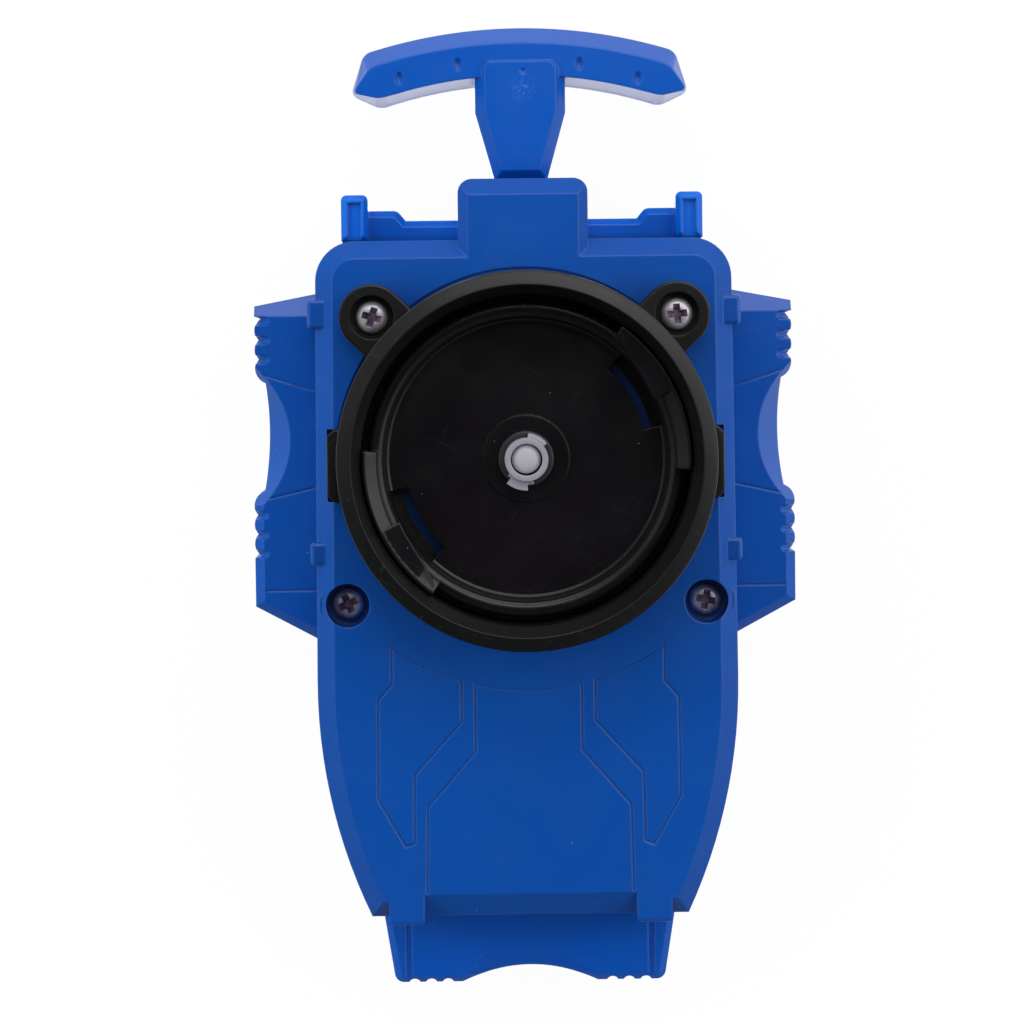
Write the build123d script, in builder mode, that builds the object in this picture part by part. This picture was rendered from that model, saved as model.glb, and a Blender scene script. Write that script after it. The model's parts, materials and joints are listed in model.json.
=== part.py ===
from build123d import *
import math
import os

# Pull-string launcher for spinning tops, lying on its back.
# +Z points out of the cup, +Y towards the pull handle; the origin is on the cup's axis at the back face.

os.makedirs("parts", exist_ok=True)

# Case, seen from the cup side.
case_top = 27.2
case_bottom = -57.9
case_waist = -28.0
shoulder_half = 26.0
waist_half = 26.5
tail_half = 20.0
shoulder_radius = 5.0
wall = 1.8
back_wall = 2.0
front_wall = 2.0
split_height = 14.0
case_height = 26.0
edge_bevel = 2.2
back_bevel = 1.2
cavity_top = case_height - front_wall

# Neck that the handle seats on.
neck_half = 8.1
neck_top = 34.8
neck_low = 4.5
neck_radius = 1.8

# Shafts: the cup and turret are on the origin, the drum below them.
drum_centre = (0.0, -33.0)
turret_centre = (0.0, 0.0)
axle_radius = 1.5
idler_axle_radius = 1.2
running_gap = 0.05
socket_depth = 1.0

# Gears.
gear_module = 0.8
pressure_angle = math.radians(25)
drum_teeth = 44
idler_teeth = 14
turret_teeth = 12
gear_low = 17.0
gear_high = 21.0
gear_backlash = 0.14

# String and drum.
string_radius = 0.5
string_height = 11.0
hub_radius = 9.0
coil_radius = 10.85
flange_radius = 13.0
groove_low = 9.0
groove_high = 13.0
flange_thickness = 1.0
barrel_low = 3.2
barrel_inner = 11.9
string_bend = (0.0, 24.0)
string_bend_radius = 20.0
string_joint = 30.0
guide_radius = 2.4
guide_bore = 0.9

# One-way clutch between drum and drum gear.
ratchet_teeth = 12
ratchet_tip = 12.6
ratchet_root = 13.9
ratchet_outer = 15.6
ratchet_low = 14.2
pawl_pivot_radius = 10.3
pawl_reach = 26.0
pawl_low = 14.15
pawl_high = 16.75
pawl_pin_radius = 0.8
pawl_angles = (116.0, 296.0)

# Cup.
ring_outer = 23.3
ring_flat_inner = 21.5
ring_inner = 20.4
ring_top = 38.0
ring_slope = 3.5
rim_bevel = 0.4
ear_x = 18.9
ear_y = 17.7
ear_radius = 4.1
ear_top = 29.4
screw_seat_radius = 2.75
ring_screw_ledge = 27.6
case_screw_x = 22.5
case_screw_y = -18.3
case_screw_ledge = 21.8
tab_root = 21.4
tab_reach = 24.8
tab_top = 27.6
tab_low = -5.3
tab_high = 3.8

# Turret.
disc_low = 26.7
disc_floor = 28.2
disc_inner = 17.5
disc_outer = 19.6
disc_rim = 31.5
prong_top = 35.0
prong_inner = 18.4
prong_outer = 19.9
lip_inner = 17.2
lip_low = 33.7
sleeve_radius = 2.7
sleeve_top = 32.5
lobe_radius = 3.6
lobe_angle = 68.0
journal_radius = 3.4
lower_journal_radius = 2.0
bush_radius = 5.2

# Centre pin.
pin_radius = 1.9
pin_nose_radius = 1.75
pin_top = 32.4
pin_low = 24.0
pin_bore_floor = 18.0

# Side grips.
grip_low = 6.0
grip_high = 16.0
grip_tongue_low = 9.0
grip_tongue_high = 13.0

# Rear lug.
lug_low = 4.0
lug_high = 16.0
lug_end = -68.0

# Handle.
handle_split = string_height
handle_half_thickness = 4.5
knot_y = 50.2

upright = (Align.CENTER, Align.CENTER, Align.MIN)


def polar(centre, radius, degrees):
    angle = math.radians(degrees)
    return (centre[0] + radius * math.cos(angle), centre[1] + radius * math.sin(angle))


def save(piece, name):
    piece.part.label = name
    export_step(piece.part, f"parts/{name}.step")


# An upright cylinder between two heights.
def post(centre, radius, low, high, mode=Mode.ADD):
    with Locations((centre[0], centre[1], low)):
        Cylinder(radius, high - low, align=upright, mode=mode)


# A block between two corners.
def block(low, high, mode=Mode.ADD):
    size = [b - a for a, b in zip(low, high)]
    with Locations(low):
        Box(*size, align=(Align.MIN, Align.MIN, Align.MIN), mode=mode)


# The case outline: a straight flared side, then one arc that narrows the tail.
def case_sketch(inset):
    with BuildSketch() as outline:
        with BuildLine():
            Line((0, case_top), (shoulder_half, case_top))
            side = Line((shoulder_half, case_top), (waist_half, case_waist))
            TangentArc((waist_half, case_waist), (tail_half, case_bottom), tangent=side % 1)
            Line((tail_half, case_bottom), (0, case_bottom))
            mirror(about=Plane.YZ)
        make_face()
        fillet(outline.vertices().group_by(Axis.Y)[-1], shoulder_radius)
        if inset > 0:
            offset(amount=-inset)
    return outline.sketch


# Polar angle that an involute has swept when it reaches a radius.
def involute_sweep(base, radius):
    roll = math.acos(min(1.0, base / radius))
    return math.tan(roll) - roll


# A prism of the case outline, drawn in by an inset, between two heights.
def case_prism(inset, low, high, mode=Mode.ADD):
    with BuildSketch(Plane.XY.offset(low)) as section:
        add(case_sketch(inset))
    extrude(section.sketch, amount=high - low, mode=mode)


# A spur gear's face with one tooth centred on the phase angle.
def gear_sketch(teeth, centre, phase):
    pitch_radius = gear_module * teeth / 2
    base = pitch_radius * math.cos(pressure_angle)
    tip = pitch_radius + 0.9 * gear_module
    root = pitch_radius - 1.2 * gear_module
    flank_start = max(base, root)
    half_pitch = math.pi / (2 * teeth) - gear_backlash / (2 * pitch_radius)

    def half_angle(radius):
        return math.degrees(half_pitch + involute_sweep(base, pitch_radius) - involute_sweep(base, radius))

    flank_middle = (flank_start + tip) / 2
    step = 360 / teeth
    with BuildSketch() as gear:
        with BuildLine():
            for tooth in range(teeth):
                middle = phase + tooth * step
                for side in (-1, 1):
                    foot = polar(centre, root, middle + side * half_angle(flank_start))
                    start = polar(centre, flank_start, middle + side * half_angle(flank_start))
                    if root < base:
                        Line(foot, start)
                    ThreePointArc(
                        start,
                        polar(centre, flank_middle, middle + side * half_angle(flank_middle)),
                        polar(centre, tip, middle + side * half_angle(tip)),
                    )
                ThreePointArc(
                    polar(centre, tip, middle - half_angle(tip)),
                    polar(centre, tip, middle),
                    polar(centre, tip, middle + half_angle(tip)),
                )
                ThreePointArc(
                    polar(centre, root, middle + half_angle(flank_start)),
                    polar(centre, root, middle + step / 2),
                    polar(centre, root, middle + step - half_angle(flank_start)),
                )
        make_face()
    return gear.sketch


# Phase that puts a driven gear in mesh with its driver along the line between their centres.
def meshed_phase(driver_phase, driver_teeth, driven_teeth, line_angle):
    step = 360 / driver_teeth
    lead = (driver_phase - line_angle) % step
    return line_angle + 180 - lead * driver_teeth / driven_teeth + 180 / driven_teeth


# Idler centre: on both pitch distances, on the side away from the string.
drum_to_idler = gear_module * (drum_teeth + idler_teeth) / 2
idler_to_turret = gear_module * (idler_teeth + turret_teeth) / 2
shaft_distance = turret_centre[1] - drum_centre[1]
idler_rise = (shaft_distance**2 + drum_to_idler**2 - idler_to_turret**2) / (2 * shaft_distance)
idler_offset = math.sqrt(drum_to_idler**2 - idler_rise**2)
idler_centre = (-idler_offset, drum_centre[1] + idler_rise)
drum_line = math.degrees(math.atan2(idler_rise, -idler_offset))
turret_line = math.degrees(math.atan2(-idler_centre[1], -idler_centre[0]))
drum_phase = drum_line
idler_phase = meshed_phase(drum_phase, drum_teeth, idler_teeth, drum_line)
turret_phase = meshed_phase(idler_phase, idler_teeth, turret_teeth, turret_line)

# Screw positions.
ring_screw_centres = [(-ear_x, ear_y), (ear_x, ear_y)]
case_screw_centres = [(-case_screw_x, case_screw_y), (case_screw_x, case_screw_y)]

# ---- Back shell: tray, neck half, accessory posts and bars, bosses ----
post_x = 21.2
post_half = 1.7
post_end = 33.1
post_low = 5.0
post_high = 18.0
post_slot_half = 0.85
seam_gap = 0.1
bar_top = 29.9
bar_low = 4.5
bar_high = 12.0
hump_x = 18.0
screw_shank_radius = 1.2
boss_radius = 3.2
axle_boss_radius = 3.0
turret_boss_radius = 3.6
idler_boss_radius = 2.4
gear_seat = 16.8
tongue_low = -12.0
tongue_high = 14.0
lug_tenon_half = 11.0
lug_tenon_low = 6.0
lug_tenon_high = 12.0
floor_root = back_wall / 2
axle_boss_top = back_wall + 1.0
screw_floor = back_wall + 1.0
bar_root = case_top - 1.0
hump_reach = 3.2
hump_rise = 1.3
hump_slope = 50
hump_rounding = 1.1
post_rounding = 0.7
slot_depth = 0.45
slot_end_wall = 1.0
post_bevel = 0.6
bar_bevel = 0.8

with BuildPart() as back_shell:
    case_prism(0, 0, split_height)
    chamfer(back_shell.edges().group_by(Axis.Z)[0], back_bevel)
    block((-neck_half, case_top - wall, neck_low), (neck_half, neck_top, split_height))
    fillet(back_shell.edges().filter_by(Axis.Z).group_by(Axis.Y)[-1], neck_radius)
    for side in (-1, 1):
        with BuildSketch(Plane.XY.offset(post_low)):
            with Locations((side * post_x, (bar_root + post_end) / 2)):
                RectangleRounded(2 * post_half, post_end - bar_root, post_rounding)
        extrude(amount=split_height - post_low)
        with BuildSketch(Plane.XY.offset(split_height)) as post_section:
            with Locations((side * post_x, (case_top + seam_gap + post_end) / 2)):
                Rectangle(2 * post_half, post_end - case_top - seam_gap)
            fillet(post_section.vertices().group_by(Axis.Y)[-1], post_rounding)
        extrude(amount=post_high - split_height)
        with BuildSketch(Plane.XY.offset(bar_low)) as bar_section:
            with Locations((side * (post_x + neck_half) / 2, (bar_root + bar_top) / 2)):
                Rectangle(post_x - neck_half, bar_top - bar_root)
            with Locations((side * hump_x, bar_top)):
                Trapezoid(2 * hump_reach, hump_rise, hump_slope, align=(Align.CENTER, Align.MIN))
            fillet(bar_section.vertices().group_by(Axis.Y)[-1], hump_rounding)
        extrude(amount=bar_high - bar_low)
    chamfer(back_shell.edges().group_by(Axis.Z)[-1], post_bevel)
    bar_edges = back_shell.edges().filter_by(
        lambda edge: abs((edge @ 0.5).Z - bar_high) < 0.01
        and (edge @ 0.5).Y > bar_top - 0.01
        and abs((edge @ 0.5).X) < post_x - post_half
    )
    chamfer(bar_edges, bar_bevel)
    for side in (-1, 1):
        block((side * post_x - post_slot_half, case_top, post_high - slot_depth),
              (side * post_x + post_slot_half, post_end - slot_end_wall, post_high + 1.0), mode=Mode.SUBTRACT)
    case_prism(wall, back_wall, case_height, mode=Mode.SUBTRACT)
    for centre in ring_screw_centres + case_screw_centres:
        post(centre, boss_radius, floor_root, split_height)
        post(centre, screw_shank_radius, screw_floor, split_height, mode=Mode.SUBTRACT)
    post(drum_centre, axle_boss_radius, floor_root, axle_boss_top)
    post(drum_centre, axle_radius, socket_depth, axle_boss_top, mode=Mode.SUBTRACT)
    post(idler_centre, idler_boss_radius, floor_root, gear_seat)
    post(idler_centre, idler_axle_radius, socket_depth, gear_seat, mode=Mode.SUBTRACT)
    post(turret_centre, turret_boss_radius, floor_root, gear_seat)
    post(turret_centre, lower_journal_radius + running_gap, string_height, gear_seat, mode=Mode.SUBTRACT)
    with Locations(Location((0, neck_top, string_height), (90, 0, 0))):
        Cylinder(guide_radius, neck_top - case_top + 2 * wall, align=upright, mode=Mode.SUBTRACT)
    for side in (-1, 1):
        block((side * waist_half - 2 * wall, tongue_low, grip_tongue_low),
              (side * waist_half + 2 * wall, tongue_high, grip_tongue_high), mode=Mode.SUBTRACT)
    block((-lug_tenon_half, case_bottom, lug_tenon_low),
          (lug_tenon_half, case_bottom + 2 * wall, lug_tenon_high), mode=Mode.SUBTRACT)
save(back_shell, "back_shell")

# ---- Front shell: bevelled plate, neck half, engraved panels, snap straps, side clips ----
groove_width = 0.3
groove_depth = 0.12
panel_arc = 29.2
panel_arc_middle = -64.0
slope_rise = 2.2
slope_run = 3.0
strap_inner = 13.4
strap_outer = 17.8
strap_end = -58.8
strap_rounding = 0.6
clip_reach = 27.1
clip_root = 23.5
clip_drop = 1.0
clip_rounding = 0.5
clip_spans = ((16.3, 20.0), (-13.3, -10.4))
neck_bevel = 1.2
neck_end_bevel = 2.0
boss_root = cavity_top + 0.5
front_boss_low = gear_high + 1.2
idler_front_low = gear_high + 0.3
seat_wall = 0.9
recess_inner = 14.2
recess_outer = 18.0
recess_floor = 25.0
ring_gap = 0.45
ring_gap_depth = 0.5
bush_boss_wall = 1.2
tab_recess = cavity_top + 0.5

# Points of the right-hand engraved panel, from its inner top corner round to its outer top corner.
side_panel = [
    (8.4, -28.0),
    (8.4, -33.1),
    (14.4, -39.7),
    (14.5, -48.4),
    (15.6, -48.8),
    (19.0, -42.8),
    (18.9, -30.3),
    (17.1, -28.2),
    (17.1, -23.7),
]
centre_panel = [(6.7, -28.4), (6.7, -36.8), (12.8, -43.8), (13.0, -54.8)]

with BuildPart() as front_shell:
    case_prism(0, split_height, case_height)
    chamfer(front_shell.edges().group_by(Axis.Z)[-1], edge_bevel)
    with BuildSketch(Plane.YZ):
        with BuildLine():
            Polyline(
                (case_bottom + slope_run, case_height),
                (case_bottom - 1.0, case_height),
                (case_bottom - 1.0, case_height - slope_rise),
                (case_bottom, case_height - slope_rise),
                close=True,
            )
        make_face()
    extrude(amount=strap_outer, both=True, mode=Mode.SUBTRACT)
    with BuildPart(mode=Mode.PRIVATE) as neck:
        block((-neck_half, case_top - edge_bevel, split_height), (neck_half, neck_top, case_height))
        fillet(neck.edges().filter_by(Axis.Z).group_by(Axis.Y)[-1], neck_radius)
        top_rim = neck.faces().sort_by(Axis.Z)[-1].edges()
        chamfer(top_rim.sort_by(Axis.Y)[1:], neck_bevel)
        with BuildSketch(Plane.YZ):
            with BuildLine():
                Polyline(
                    (neck_top - neck_end_bevel, case_height),
                    (neck_top + neck_end_bevel, case_height),
                    (neck_top + neck_end_bevel, case_height - 2 * neck_end_bevel),
                    close=True,
                )
            make_face()
        extrude(amount=neck_half, both=True, mode=Mode.SUBTRACT)
    add(neck.part)
    case_prism(wall, split_height, cavity_top, mode=Mode.SUBTRACT)
    for side in (-1, 1):
        inner, outer = sorted((side * strap_inner, side * strap_outer))
        with BuildPart(mode=Mode.PRIVATE) as strap:
            block((inner, strap_end, lug_high), (outer, case_bottom + slope_run, case_height))
            end_edges = strap.edges().group_by(Axis.Y)[0]
            fillet(end_edges.filter_by(Axis.Z) + end_edges.filter_by(Axis.X).sort_by(Axis.Z)[-1:], strap_rounding)
        add(strap.part)
        for low, high in clip_spans:
            inner, outer = sorted((side * clip_root, side * clip_reach))
            with BuildPart(mode=Mode.PRIVATE) as clip:
                block((inner, low, grip_high + seam_gap), (outer, high, case_height - clip_drop))
                top_edges = clip.faces().sort_by(Axis.Z)[-1].edges()
                side_edges = clip.faces().sort_by(Axis.X)[-1 if side > 0 else 0].edges().filter_by(Axis.Z)
                fillet(top_edges + side_edges, clip_rounding)
            add(clip.part)
    for centre in ring_screw_centres:
        post(centre, boss_radius, split_height, boss_root)
        post(centre, screw_shank_radius, split_height, case_height, mode=Mode.SUBTRACT)
    for centre in case_screw_centres:
        post(centre, screw_seat_radius + seat_wall, split_height, boss_root)
        post(centre, screw_seat_radius, case_screw_ledge, case_height, mode=Mode.SUBTRACT)
        post(centre, screw_shank_radius, split_height, case_height, mode=Mode.SUBTRACT)
    post(drum_centre, axle_boss_radius, front_boss_low, boss_root)
    post(drum_centre, axle_radius, front_boss_low, case_height - socket_depth, mode=Mode.SUBTRACT)
    post(idler_centre, idler_boss_radius, idler_front_low, boss_root)
    post(idler_centre, idler_axle_radius, idler_front_low, case_height - socket_depth, mode=Mode.SUBTRACT)
    post(turret_centre, bush_radius + bush_boss_wall, front_boss_low, boss_root)
    post(turret_centre, bush_radius, front_boss_low, case_height, mode=Mode.SUBTRACT)
    with BuildSketch(Plane.XY.offset(case_height)):
        Circle(ring_outer + ring_gap)
        Circle(ring_outer, mode=Mode.SUBTRACT)
    extrude(amount=-ring_gap_depth, mode=Mode.SUBTRACT)
    with BuildSketch(Plane.XY.offset(case_height)):
        Circle(recess_outer)
        Circle(recess_inner, mode=Mode.SUBTRACT)
    extrude(amount=recess_floor - case_height, mode=Mode.SUBTRACT)
    for side in (-1, 1):
        inner, outer = sorted((side * tab_root, side * tab_reach))
        block((inner, tab_low, tab_recess), (outer, tab_high, case_height), mode=Mode.SUBTRACT)
    with BuildSketch(Plane.XY.offset(case_height)):
        with BuildLine():
            Polyline(*side_panel)
            ThreePointArc(
                side_panel[-1],
                polar(turret_centre, panel_arc, panel_arc_middle),
                side_panel[0],
            )
            Polyline(*centre_panel)
            mirror(about=Plane.YZ)
            ThreePointArc(
                (-centre_panel[0][0], centre_panel[0][1]),
                (0, -panel_arc),
                centre_panel[0],
            )
        trace(line_width=groove_width)
    extrude(amount=-groove_depth, mode=Mode.SUBTRACT)
save(front_shell, "front_shell")

# ---- Screws: domed head with a cross recess ----
screw_head_radius = 2.05
screw_head_height = 1.5
recess_reach = 1.5
recess_half = 0.4
recess_depth = 0.9
head_rounding = 0.5
shank_tip = back_wall + 4.0


def screw(centre, ledge, tip):
    post(centre, screw_head_radius, ledge, ledge + screw_head_height)
    post(centre, screw_shank_radius - running_gap, tip, ledge)


def cross_recess(centre, ledge):
    low = ledge + screw_head_height - recess_depth
    for long, wide in ((recess_reach, recess_half), (recess_half, recess_reach)):
        block((centre[0] - long, centre[1] - wide, low),
              (centre[0] + long, centre[1] + wide, low + screw_head_height), mode=Mode.SUBTRACT)


with BuildPart() as ring_screws:
    for centre in ring_screw_centres:
        screw(centre, ring_screw_ledge, shank_tip)
    fillet(ring_screws.edges().group_by(Axis.Z)[-1], head_rounding)
    for centre in ring_screw_centres:
        cross_recess(centre, ring_screw_ledge)
save(ring_screws, "ring_screws")

with BuildPart() as case_screws:
    for centre in case_screw_centres:
        screw(centre, case_screw_ledge, shank_tip)
    fillet(case_screws.edges().group_by(Axis.Z)[-1], head_rounding)
    for centre in case_screw_centres:
        cross_recess(centre, case_screw_ledge)
save(case_screws, "case_screws")

# ---- Guard ring: cup wall with two screw ears and two side tabs ----
with BuildPart() as guard_ring:
    with BuildSketch(Plane.XZ):
        with BuildLine():
            Polyline(
                (ring_inner, case_height),
                (ring_outer, case_height),
                (ring_outer, ring_top - rim_bevel),
                (ring_outer - rim_bevel, ring_top),
                (ring_flat_inner, ring_top),
                (ring_inner, ring_top - ring_slope),
                close=True,
            )
        make_face()
    revolve(axis=Axis.Z)
    for centre in ring_screw_centres:
        angle = math.degrees(math.atan2(centre[1], centre[0]))
        with BuildSketch(Plane.XY.offset(case_height)):
            with Locations(Location((centre[0], centre[1], 0), angle)):
                Circle(ear_radius)
                Rectangle(2 * ear_radius, 2 * ear_radius, align=(Align.MAX, Align.CENTER))
        extrude(amount=ear_top - case_height)
    for side in (-1, 1):
        inner, outer = sorted((side * tab_root, side * tab_reach))
        block((inner, tab_low, tab_recess), (outer, tab_high, tab_top))
    post(turret_centre, ring_inner, cavity_top, ring_top - ring_slope, mode=Mode.SUBTRACT)
    for centre in ring_screw_centres:
        post(centre, screw_seat_radius, ring_screw_ledge, ring_top, mode=Mode.SUBTRACT)
        post(centre, screw_shank_radius, case_height, ring_screw_ledge, mode=Mode.SUBTRACT)
save(guard_ring, "guard_ring")

# ---- Side grips: plates with ribbed edges, a scooped finger hollow and a tongue into the case wall ----
grip_front_x = 34.2
grip_rear_x = 34.6
grip_top_inner = 20.95
grip_top_outer = 19.2
grip_bottom_inner = -24.1
grip_bottom_outer = -19.2
hollow_top = 10.2
hollow_bottom = -5.5
hollow_floor_x = 32.6
grip_root = 1.0
tongue_root = 0.4
rib_radius = 1.9
rib_pitch = 2.45
front_rib_y = 11.2
rear_rib_y = -11.15
ribs_in_row = 3
front_row_end = 17.4
rear_row_end = -12.5
row_root = 1.2
corner_lead = 0.5
valley_radius = 0.55
valley_reach = 1.9
grip_bevel = 1.2
facet_y = 17.9
facet_slope = 0.75
facet_run = 4.0
scoop_radius = 14.5
scoop_tilt = 40
scoop_x = 48.8
scoop_y = 2.3
scoop_length = 60
mark_width = 0.25
mark_depth = 0.1
mark_ends = [((26.8, 8.4), (33.3, 10.5)), ((26.8, -4.0), (33.9, -5.6)), ((26.8, -17.1), (33.2, -17.1))]

# Each rib row: X of the rib tips and Y of the row's lowest rib.
rib_rows = ((grip_front_x, front_rib_y), (grip_rear_x, rear_rib_y))


def grip(side):
    front_root = grip_front_x - row_root
    rear_root = grip_rear_x - row_root
    outline = [
        (waist_half - grip_root, grip_bottom_inner),
        (shoulder_half - grip_root, grip_top_inner),
        (grip_front_x, grip_top_outer),
        (grip_front_x, front_row_end + corner_lead),
        (front_root, front_row_end),
        (front_root, hollow_top),
    ]
    rear_outline = [
        (rear_root, hollow_bottom),
        (rear_root, rear_row_end),
        (grip_rear_x, rear_row_end - corner_lead),
        (grip_rear_x, grip_bottom_outer),
        (waist_half - grip_root, grip_bottom_inner),
    ]
    with BuildSketch(Plane.XY.offset(grip_low)) as section:
        with BuildLine():
            Polyline(*[(side * x, y) for x, y in outline])
            ThreePointArc((side * front_root, hollow_top), (side * hollow_floor_x, scoop_y),
                          (side * rear_root, hollow_bottom))
            Polyline(*[(side * x, y) for x, y in rear_outline])
        make_face()
        for tip_x, first in rib_rows:
            for rib in range(ribs_in_row):
                with Locations((side * (tip_x - rib_radius), first + rib * rib_pitch)):
                    Circle(rib_radius)
    extrude(section.sketch, amount=grip_high - grip_low)


# Cuts that shape one broad face of a grip: facing is 1 for the face at that height towards +Z, -1 towards -Z.
def shape_grip_face(side, height, facing):
    with BuildSketch(Plane.YZ) as wedge:
        with BuildLine():
            Polyline(
                (facet_y, height),
                (facet_y + facet_run, height),
                (facet_y + facet_run, height - facing * facet_slope * facet_run),
                close=True,
            )
        make_face()
    extrude(wedge.sketch, amount=side * (grip_rear_x + 1.0), mode=Mode.SUBTRACT)
    with Locations(Location((side * scoop_x, scoop_y, height), (0, -side * facing * scoop_tilt, 0))):
        Cylinder(scoop_radius, scoop_length, mode=Mode.SUBTRACT)
    for tip_x, first in rib_rows:
        row_shift = rib_pitch / 2 if first > 0 else -rib_pitch / 2
        for rib in range(ribs_in_row):
            valley_foot = (side * (tip_x - valley_reach / 2), first + rib * rib_pitch + row_shift,
                           height - facing * valley_reach / 2)
            with BuildSketch(Plane(valley_foot, x_dir=(0, 1, 0), z_dir=(side, 0, -facing))) as valley:
                with Locations((0, side * facing * valley_reach)):
                    SlotOverall(2 * valley_reach, 2 * valley_radius, rotation=90)
            extrude(valley.sketch, amount=valley_reach, both=True, mode=Mode.SUBTRACT)
    with BuildSketch(Plane.XY.offset(height)) as marks:
        for inner_end, outer_end in mark_ends:
            with BuildLine(mode=Mode.PRIVATE) as mark:
                Line((side * inner_end[0], inner_end[1]), (side * outer_end[0], outer_end[1]))
            trace(mark.line, line_width=mark_width)
    extrude(marks.sketch, amount=-facing * mark_depth, mode=Mode.SUBTRACT)


def finish_grip(piece, side):
    for face in (piece.faces().sort_by(Axis.Z)[0], piece.faces().sort_by(Axis.Z)[-1]):
        chamfer(face.edges().filter_by(lambda edge: (edge @ 0.5).Y < rear_row_end - 1.0), grip_bevel)
    shape_grip_face(side, grip_high, 1)
    shape_grip_face(side, grip_low, -1)
    case_prism(0, grip_low, grip_high, mode=Mode.SUBTRACT)
    inner, outer = sorted((side * (waist_half - wall - tongue_root), side * (waist_half + wall)))
    block((inner, tongue_low, grip_tongue_low), (outer, tongue_high, grip_tongue_high))


with BuildPart() as left_grip:
    grip(-1)
    finish_grip(left_grip, -1)
save(left_grip, "left_grip")

with BuildPart() as right_grip:
    grip(1)
    finish_grip(right_grip, 1)
save(right_grip, "right_grip")

# ---- Rear lug: tapered block with a thumb notch, ribbed end and a tenon into the tail wall ----
lug_root_half = 18.9
lug_end_half = 17.3
notch_half = 8.7
notch_depth = 2.0
lug_rib_pitch = 2.15
lug_rib_first = 10.6
lug_rib_radius = 0.75
lug_rib_offset = 0.25
lug_bevel = 0.8
lug_groove_x = 15.6
lug_groove_half = 0.4
lug_groove_depth = 0.2
lug_rounding = 1.2
thumb_scoop_radius = 22.0
thumb_scoop_tilt = 60
thumb_scoop_y = -107.8
thumb_scoop_length = 120

with BuildPart() as rear_lug:
    with BuildSketch(Plane.XY.offset(lug_low)) as lug_section:
        with BuildLine():
            Line((-lug_root_half, case_bottom), (lug_root_half, case_bottom))
            Line((lug_root_half, case_bottom), (lug_end_half, lug_end))
            Line((lug_end_half, lug_end), (notch_half, lug_end))
            ThreePointArc((notch_half, lug_end), (0, lug_end + notch_depth), (-notch_half, lug_end))
            Line((-notch_half, lug_end), (-lug_end_half, lug_end))
            Line((-lug_end_half, lug_end), (-lug_root_half, case_bottom))
        make_face()
        end_corners = lug_section.vertices().group_by(Axis.Y)[0].sort_by(Axis.X)
        fillet([end_corners[0], end_corners[-1]], lug_rounding)
    extrude(amount=lug_high - lug_low)
    for face in (rear_lug.faces().sort_by(Axis.Z)[0], rear_lug.faces().sort_by(Axis.Z)[-1]):
        chamfer(face.edges().sort_by(Axis.Y)[:-1], lug_bevel)
    with Locations(Location((0, thumb_scoop_y, lug_high), (-thumb_scoop_tilt, 0, 0))):
        Cylinder(thumb_scoop_radius, thumb_scoop_length, mode=Mode.SUBTRACT)
    for side in (-1, 1):
        for rib in range(3):
            x = side * (lug_rib_first + rib * lug_rib_pitch)
            post((x, lug_end - lug_rib_offset), lug_rib_radius, lug_low, lug_high, mode=Mode.SUBTRACT)
        block((side * lug_groove_x - lug_groove_half, lug_end, lug_high - lug_groove_depth),
              (side * lug_groove_x + lug_groove_half, case_bottom, lug_high), mode=Mode.SUBTRACT)
    block((-lug_tenon_half, case_bottom, lug_tenon_low), (lug_tenon_half, case_bottom + wall, lug_tenon_high))
save(rear_lug, "rear_lug")

# ---- Shafts and bearings ----
shaft_chamfer = 0.2
bush_top = case_height + 0.5

with BuildPart() as drum_axle:
    post(drum_centre, axle_radius, socket_depth, case_height - socket_depth)
    chamfer(drum_axle.edges(), shaft_chamfer)
save(drum_axle, "drum_axle")

with BuildPart() as idler_axle:
    post(idler_centre, idler_axle_radius, socket_depth, case_height - socket_depth)
    chamfer(idler_axle.edges(), shaft_chamfer)
save(idler_axle, "idler_axle")

with BuildPart() as turret_bush:
    post(turret_centre, bush_radius, front_boss_low, bush_top)
    post(turret_centre, journal_radius + running_gap, front_boss_low, bush_top, mode=Mode.SUBTRACT)
    chamfer(turret_bush.edges().group_by(Axis.Z)[-1], shaft_chamfer)
save(turret_bush, "turret_bush")

# ---- String guide: flanged eyelet in the neck, its bore rounded at both mouths ----
guide_low = case_top - wall
guide_high = neck_top - 0.2
guide_flange = guide_radius + 0.8
flange_depth = 1.0
mouth_rounding = 0.45
with BuildPart() as string_guide:
    with BuildSketch(Plane.YZ):
        with BuildLine():
            Polyline(
                (guide_low - flange_depth, string_height + guide_bore),
                (guide_low - flange_depth, string_height + guide_flange),
                (guide_low, string_height + guide_flange),
                (guide_low, string_height + guide_radius),
                (guide_high, string_height + guide_radius),
                (guide_high, string_height + guide_bore),
                close=True,
            )
        make_face()
    revolve(axis=Axis((0, 0, string_height), (0, 1, 0)))
    mouths = string_guide.edges().filter_by(GeomType.CIRCLE).sort_by(SortBy.RADIUS)[:2]
    fillet(mouths, mouth_rounding)
save(string_guide, "string_guide")

# ---- String: coil on the drum, run to the guide, lead into the handle, knot ----
coil_gap = 0.3
leave_radius = coil_radius + coil_gap + string_radius
bend_distance = string_bend[1] - drum_centre[1]
leave_angle = math.degrees(math.asin(leave_radius / bend_distance))
leave_point = polar(drum_centre, leave_radius, leave_angle)

with BuildPart() as string_coil:
    post(drum_centre, coil_radius, groove_low + running_gap, groove_high - running_gap)
    post(drum_centre, hub_radius, groove_low, groove_high, mode=Mode.SUBTRACT)
save(string_coil, "string_coil")

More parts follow.
